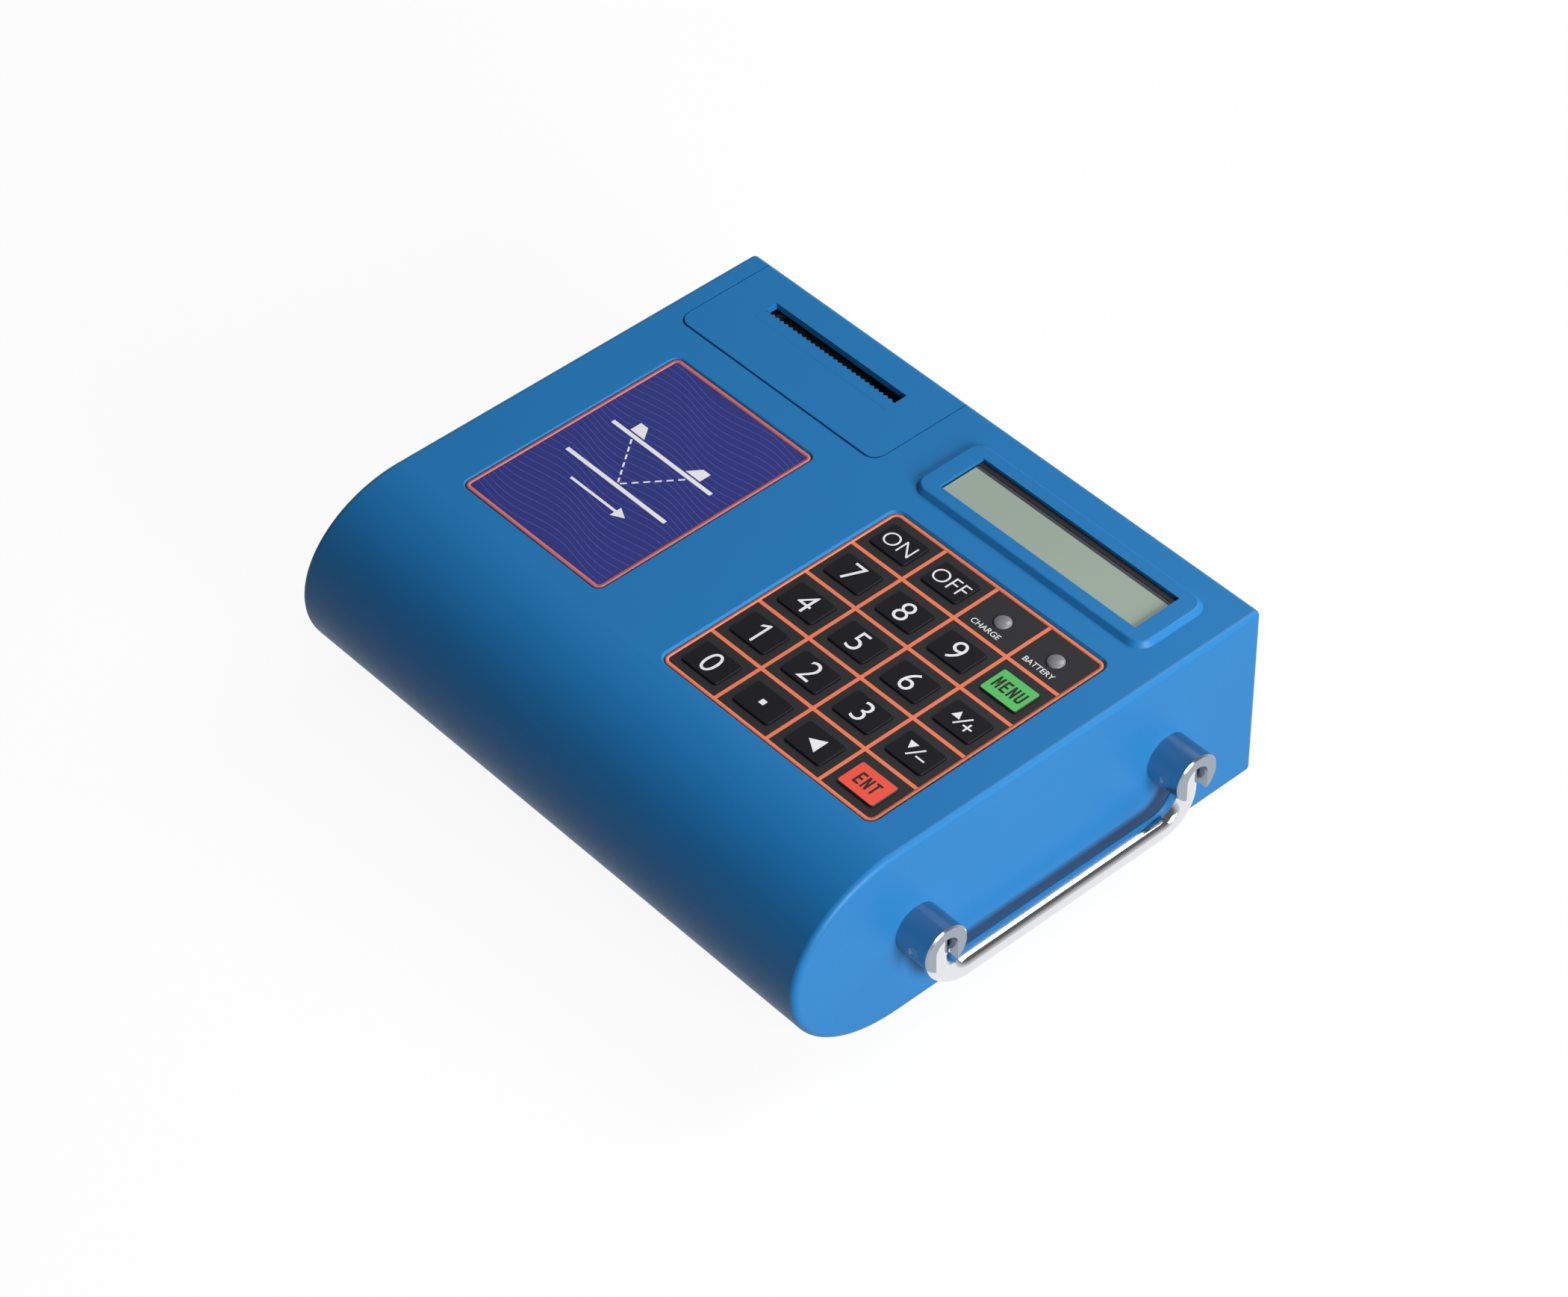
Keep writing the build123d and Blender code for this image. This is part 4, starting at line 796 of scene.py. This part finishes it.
def wave_tree(material, place):
    """Even rows of thin waves on a plate."""
    tree, start, end = new_tree("label_waves", [
        ("Width", "NodeSocketFloat"), ("Depth", "NodeSocketFloat"), ("Line", "NodeSocketFloat"),
        ("Thickness", "NodeSocketFloat"), ("Rows", "NodeSocketInt"), ("Swing", "NodeSocketFloat"),
        ("Wave", "NodeSocketFloat")])
    put = start.outputs
    line = tree.nodes.new("GeometryNodeCurvePrimitiveLine")
    gn_link(tree, vector(tree, x=maths(tree, "MULTIPLY", put["Width"], -0.5)), line.inputs["Start"])
    gn_link(tree, vector(tree, x=maths(tree, "MULTIPLY", put["Width"], 0.5)), line.inputs["End"])
    fine = tree.nodes.new("GeometryNodeResampleCurve")
    fine.inputs["Count"].default_value = 90
    gn_link(tree, line.outputs[0], fine.inputs["Curve"])
    row = tree.nodes.new("GeometryNodeMeshLine")
    step = maths(tree, "DIVIDE", put["Depth"], maths(tree, "SUBTRACT", put["Rows"], 1.0))
    gn_link(tree, put["Rows"], row.inputs["Count"])
    gn_link(tree, vector(tree, y=maths(tree, "MULTIPLY", put["Depth"], -0.5)), row.inputs["Start Location"])
    gn_link(tree, vector(tree, y=step), row.inputs["Offset"])
    many = tree.nodes.new("GeometryNodeInstanceOnPoints")
    gn_link(tree, row.outputs[0], many.inputs["Points"])
    gn_link(tree, fine.outputs[0], many.inputs["Instance"])
    single = tree.nodes.new("GeometryNodeRealizeInstances")
    gn_link(tree, many.outputs[0], single.inputs[0])
    where = tree.nodes.new("ShaderNodeSeparateXYZ")
    gn_link(tree, tree.nodes.new("GeometryNodeInputPosition").outputs[0], where.inputs[0])
    turn = maths(tree, "DIVIDE", where.outputs["X"], put["Wave"])
    drift = maths(tree, "DIVIDE", where.outputs["Y"], put["Wave"])
    rise = maths(tree, "MULTIPLY", maths(tree, "SINE", maths(tree, "ADD", turn, drift)), put["Swing"])
    bend = tree.nodes.new("GeometryNodeSetPosition")
    gn_link(tree, single.outputs[0], bend.inputs["Geometry"])
    gn_link(tree, vector(tree, y=rise), bend.inputs["Offset"])
    profile = tree.nodes.new("GeometryNodeCurvePrimitiveQuadrilateral")
    gn_link(tree, put["Line"], profile.inputs["Width"])
    gn_link(tree, put["Thickness"], profile.inputs["Height"])
    swept = tree.nodes.new("GeometryNodeCurveToMesh")
    swept.inputs["Fill Caps"].default_value = True
    gn_link(tree, bend.outputs[0], swept.inputs["Curve"])
    gn_link(tree, profile.outputs[0], swept.inputs["Profile Curve"])
    tree_end(tree, end, [swept.outputs[0]], material, place)
    return tree


def frame_tree(material, place):
    """One flat rounded frame."""
    tree, start, end = new_tree("label_border", [
        ("Width", "NodeSocketFloat"), ("Depth", "NodeSocketFloat"), ("Line", "NodeSocketFloat"),
        ("Radius", "NodeSocketFloat"), ("Thickness", "NodeSocketFloat")])
    put = start.outputs
    ring = rounded_frame(tree, put["Width"], put["Depth"], put["Line"], put["Radius"], put["Thickness"])
    tree_end(tree, end, [ring], material, place)
    return tree


label_low, label_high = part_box("label_plate")
label_w = label_high.x - label_low.x
label_d = label_high.y - label_low.y
label_x = (label_low.x + label_high.x) / 2
label_y = (label_low.y + label_high.y) / 2
label_z = label_high.z
border_line = 1.4 * mm
border_inset = 0.1 * mm
border_corner = 2.4 * mm
wave_line = 0.22 * mm
wave_rows = 34
wave_swing = 1.5 * mm
wave_length = 7.0 * mm
border = baked("label_border", frame_tree(ink_rose, (label_x, label_y, label_z)), {
    "Width": label_w - 2 * border_inset, "Depth": label_d - 2 * border_inset, "Line": border_line,
    "Radius": border_corner, "Thickness": 2 * ink_t}, ink_rose, "housing")
waves = baked("label_waves", wave_tree(ink_line, (label_x, label_y, label_z)), {
    "Width": label_w - 2.6 * border_line, "Depth": label_d - 6 * border_line, "Line": wave_line,
    "Thickness": ink_t, "Rows": wave_rows, "Swing": wave_swing, "Wave": wave_length}, ink_line, "housing")
print("label print faces:", len(border.data.polygons) + len(waves.data.polygons))

# %% [markdown]
# The diagram shows what the meter measures: two long bars are the pipe's walls, two wedges are
# the transducers, and a dashed line is the beam that crosses the flow.
# %% Label diagram
pipe_w = 46.0 * mm
pipe_bore = 17.0 * mm
pipe_wall = 1.5 * mm
wedge = 6.5 * mm
beam_reach = 13.0 * mm
beam_line = 0.6 * mm
wedge_gap = 0.6 * mm
wedge_top = 5.0 * mm
arrow_drop = 7.0 * mm
arrow_line = 1.0 * mm
arrow_tail = 12.0 * mm
arrow_neck = 9.0 * mm
arrow_tip = 11.2 * mm
arrow_w = 4.6 * mm
arrow_h = 4.4 * mm
diagram = [box_outline(label_x, label_y + side * (pipe_bore + pipe_wall) / 2, pipe_w, pipe_wall)
           for side in (-1, 1)]
wall_top = label_y + pipe_bore / 2 + pipe_wall
for side in (-1, 1):
    foot = label_x + side * beam_reach
    diagram.append([(foot - wedge / 2, wall_top + wedge_gap), (foot + wedge / 2, wall_top + wedge_gap),
                    (foot + wedge / 2 * (1 + side) / 2, wall_top + wedge_top),
                    (foot - wedge / 2 * (1 - side) / 2, wall_top + wedge_top)])
    top = Vector((foot, label_y + pipe_bore / 2))
    low = Vector((label_x, label_y - pipe_bore / 2))
    dashes = 6
    for i in range(dashes):
        a = top.lerp(low, (i + 0.2) / dashes)
        b = top.lerp(low, (i + 0.8) / dashes)
        diagram.append(bar(a.x, a.y, b.x, b.y, beam_line))
arrow_y = label_y - pipe_bore / 2 - pipe_wall - arrow_drop
diagram.append(bar(label_x - arrow_tail, arrow_y, label_x + arrow_neck, arrow_y, arrow_line))
diagram.append(triangle(label_x + arrow_tip, arrow_y, arrow_w, arrow_h, -pi / 2))
label_diagram = plates("label_diagram", diagram, label_z + ink_t / 2, ink_white, "housing")
print("diagram plates:", len(diagram))

# %% [markdown]
# A plain pale floor. What the camera sees of it is mostly even white, so the object stands on a
# clean ground, but part of it is a real matt surface that takes the object's shadow.
# %% Floor
floor_size = 6.0
bpy.ops.mesh.primitive_plane_add(size=floor_size, location=(0, 0, -0.0002))
floor = bpy.context.object
floor.name = "floor"


def seen(tree):
    """1 for rays that the camera, a gloss or a clear piece sends, 0 for the rest."""
    path = tree.nodes.new("ShaderNodeLightPath")
    either = maths(tree, "MAXIMUM", path.outputs["Is Camera Ray"], path.outputs["Is Glossy Ray"])
    return maths(tree, "MAXIMUM", either, path.outputs["Is Transmission Ray"])


def floor_material():
    """Matt pale floor that camera and gloss see mostly as even white."""
    material = bpy.data.materials.new("floor_paper")
    material.use_nodes = True
    tree = material.node_tree
    tree.nodes.remove(tree.nodes["Principled BSDF"])
    seen_share = seen(tree)
    tone = add_node(tree, "ShaderNodeMix", {"data_type": "RGBA"})
    tone.inputs["A"].default_value = (0.14, 0.14, 0.15, 1)
    tone.inputs["B"].default_value = (0.95, 0.95, 0.95, 1)
    tree.links.new(seen_share, tone.inputs["Factor"])
    matt = tree.nodes.new("ShaderNodeBsdfDiffuse")
    tree.links.new(tone.outputs["Result"], matt.inputs["Color"])
    glow = add_node(tree, "ShaderNodeEmission", inputs={"Color": (1, 1, 1, 1), "Strength": 1.0})
    mix = tree.nodes.new("ShaderNodeMixShader")
    even_share = 0.93
    tree.links.new(maths(tree, "MULTIPLY", seen_share, even_share), mix.inputs[0])
    tree.links.new(matt.outputs[0], mix.inputs[1])
    tree.links.new(glow.outputs[0], mix.inputs[2])
    tree.links.new(mix.outputs[0], tree.nodes["Material Output"].inputs["Surface"])
    return material


floor.data.materials.append(floor_material())
print("floor", floor_size, "m")

# %% [markdown]
# The light in the photograph comes from behind and from the right: the right side is brighter
# than the top, and the nose falls into shade. A large lamp high behind lights the top, and a
# nearer one on the right lights the side. The world gives a low fill, and is white where the
# camera looks. For gloss it is pale near the ground and dark above, so that chrome has contrast.
# %% Light


def area_lamp(name, place, target, size, power):
    """A square area lamp that faces a target."""
    data = bpy.data.lights.new(name, "AREA")
    data.shape = "SQUARE"
    data.size = size
    data.energy = power
    lamp = bpy.data.objects.new(name, data)
    turn = (target - place).to_track_quat("-Z", "Y").to_matrix().to_4x4()
    lamp.matrix_world = Matrix.Translation(place) @ turn
    bpy.context.scene.collection.objects.link(lamp)
    return lamp


middle = Vector((0, 0, 0.05))
area_lamp("back_lamp", Vector((0.20, 1.00, 1.15)), middle, 0.9, 16.6)
area_lamp("right_lamp", Vector((1.30, -0.10, 0.55)), middle, 0.6, 23.5)
fill_strength = 0.05


def world_light():
    """Low even fill, a sky for gloss that is dark overhead, and white where the camera looks."""
    world = bpy.data.worlds.new("studio")
    world.use_nodes = True
    tree = world.node_tree
    background = tree.nodes["Background"]
    path = tree.nodes.new("ShaderNodeLightPath")
    way = tree.nodes.new("ShaderNodeTexCoord")
    parts = tree.nodes.new("ShaderNodeSeparateXYZ")
    tree.links.new(way.outputs["Generated"], parts.inputs[0])
    sky = add_node(tree, "ShaderNodeMapRange", inputs={"From Min": 0.05, "From Max": 0.6})
    sky.inputs["To Min"].default_value = 0.75
    sky.inputs["To Max"].default_value = 0.12
    tree.links.new(parts.outputs["Z"], sky.inputs["Value"])
    gloss = maths(tree, "MULTIPLY", path.outputs["Is Glossy Ray"], sky.outputs["Result"])
    fill = maths(tree, "MAXIMUM", gloss, fill_strength)
    level = maths(tree, "MAXIMUM", path.outputs["Is Camera Ray"], fill)
    tree.links.new(level, background.inputs["Strength"])
    background.inputs["Color"].default_value = (1, 1, 1, 1)
    bpy.context.scene.world = world


world_light()
bpy.context.scene.view_settings.view_transform = "Standard"
print("lamps and world set")
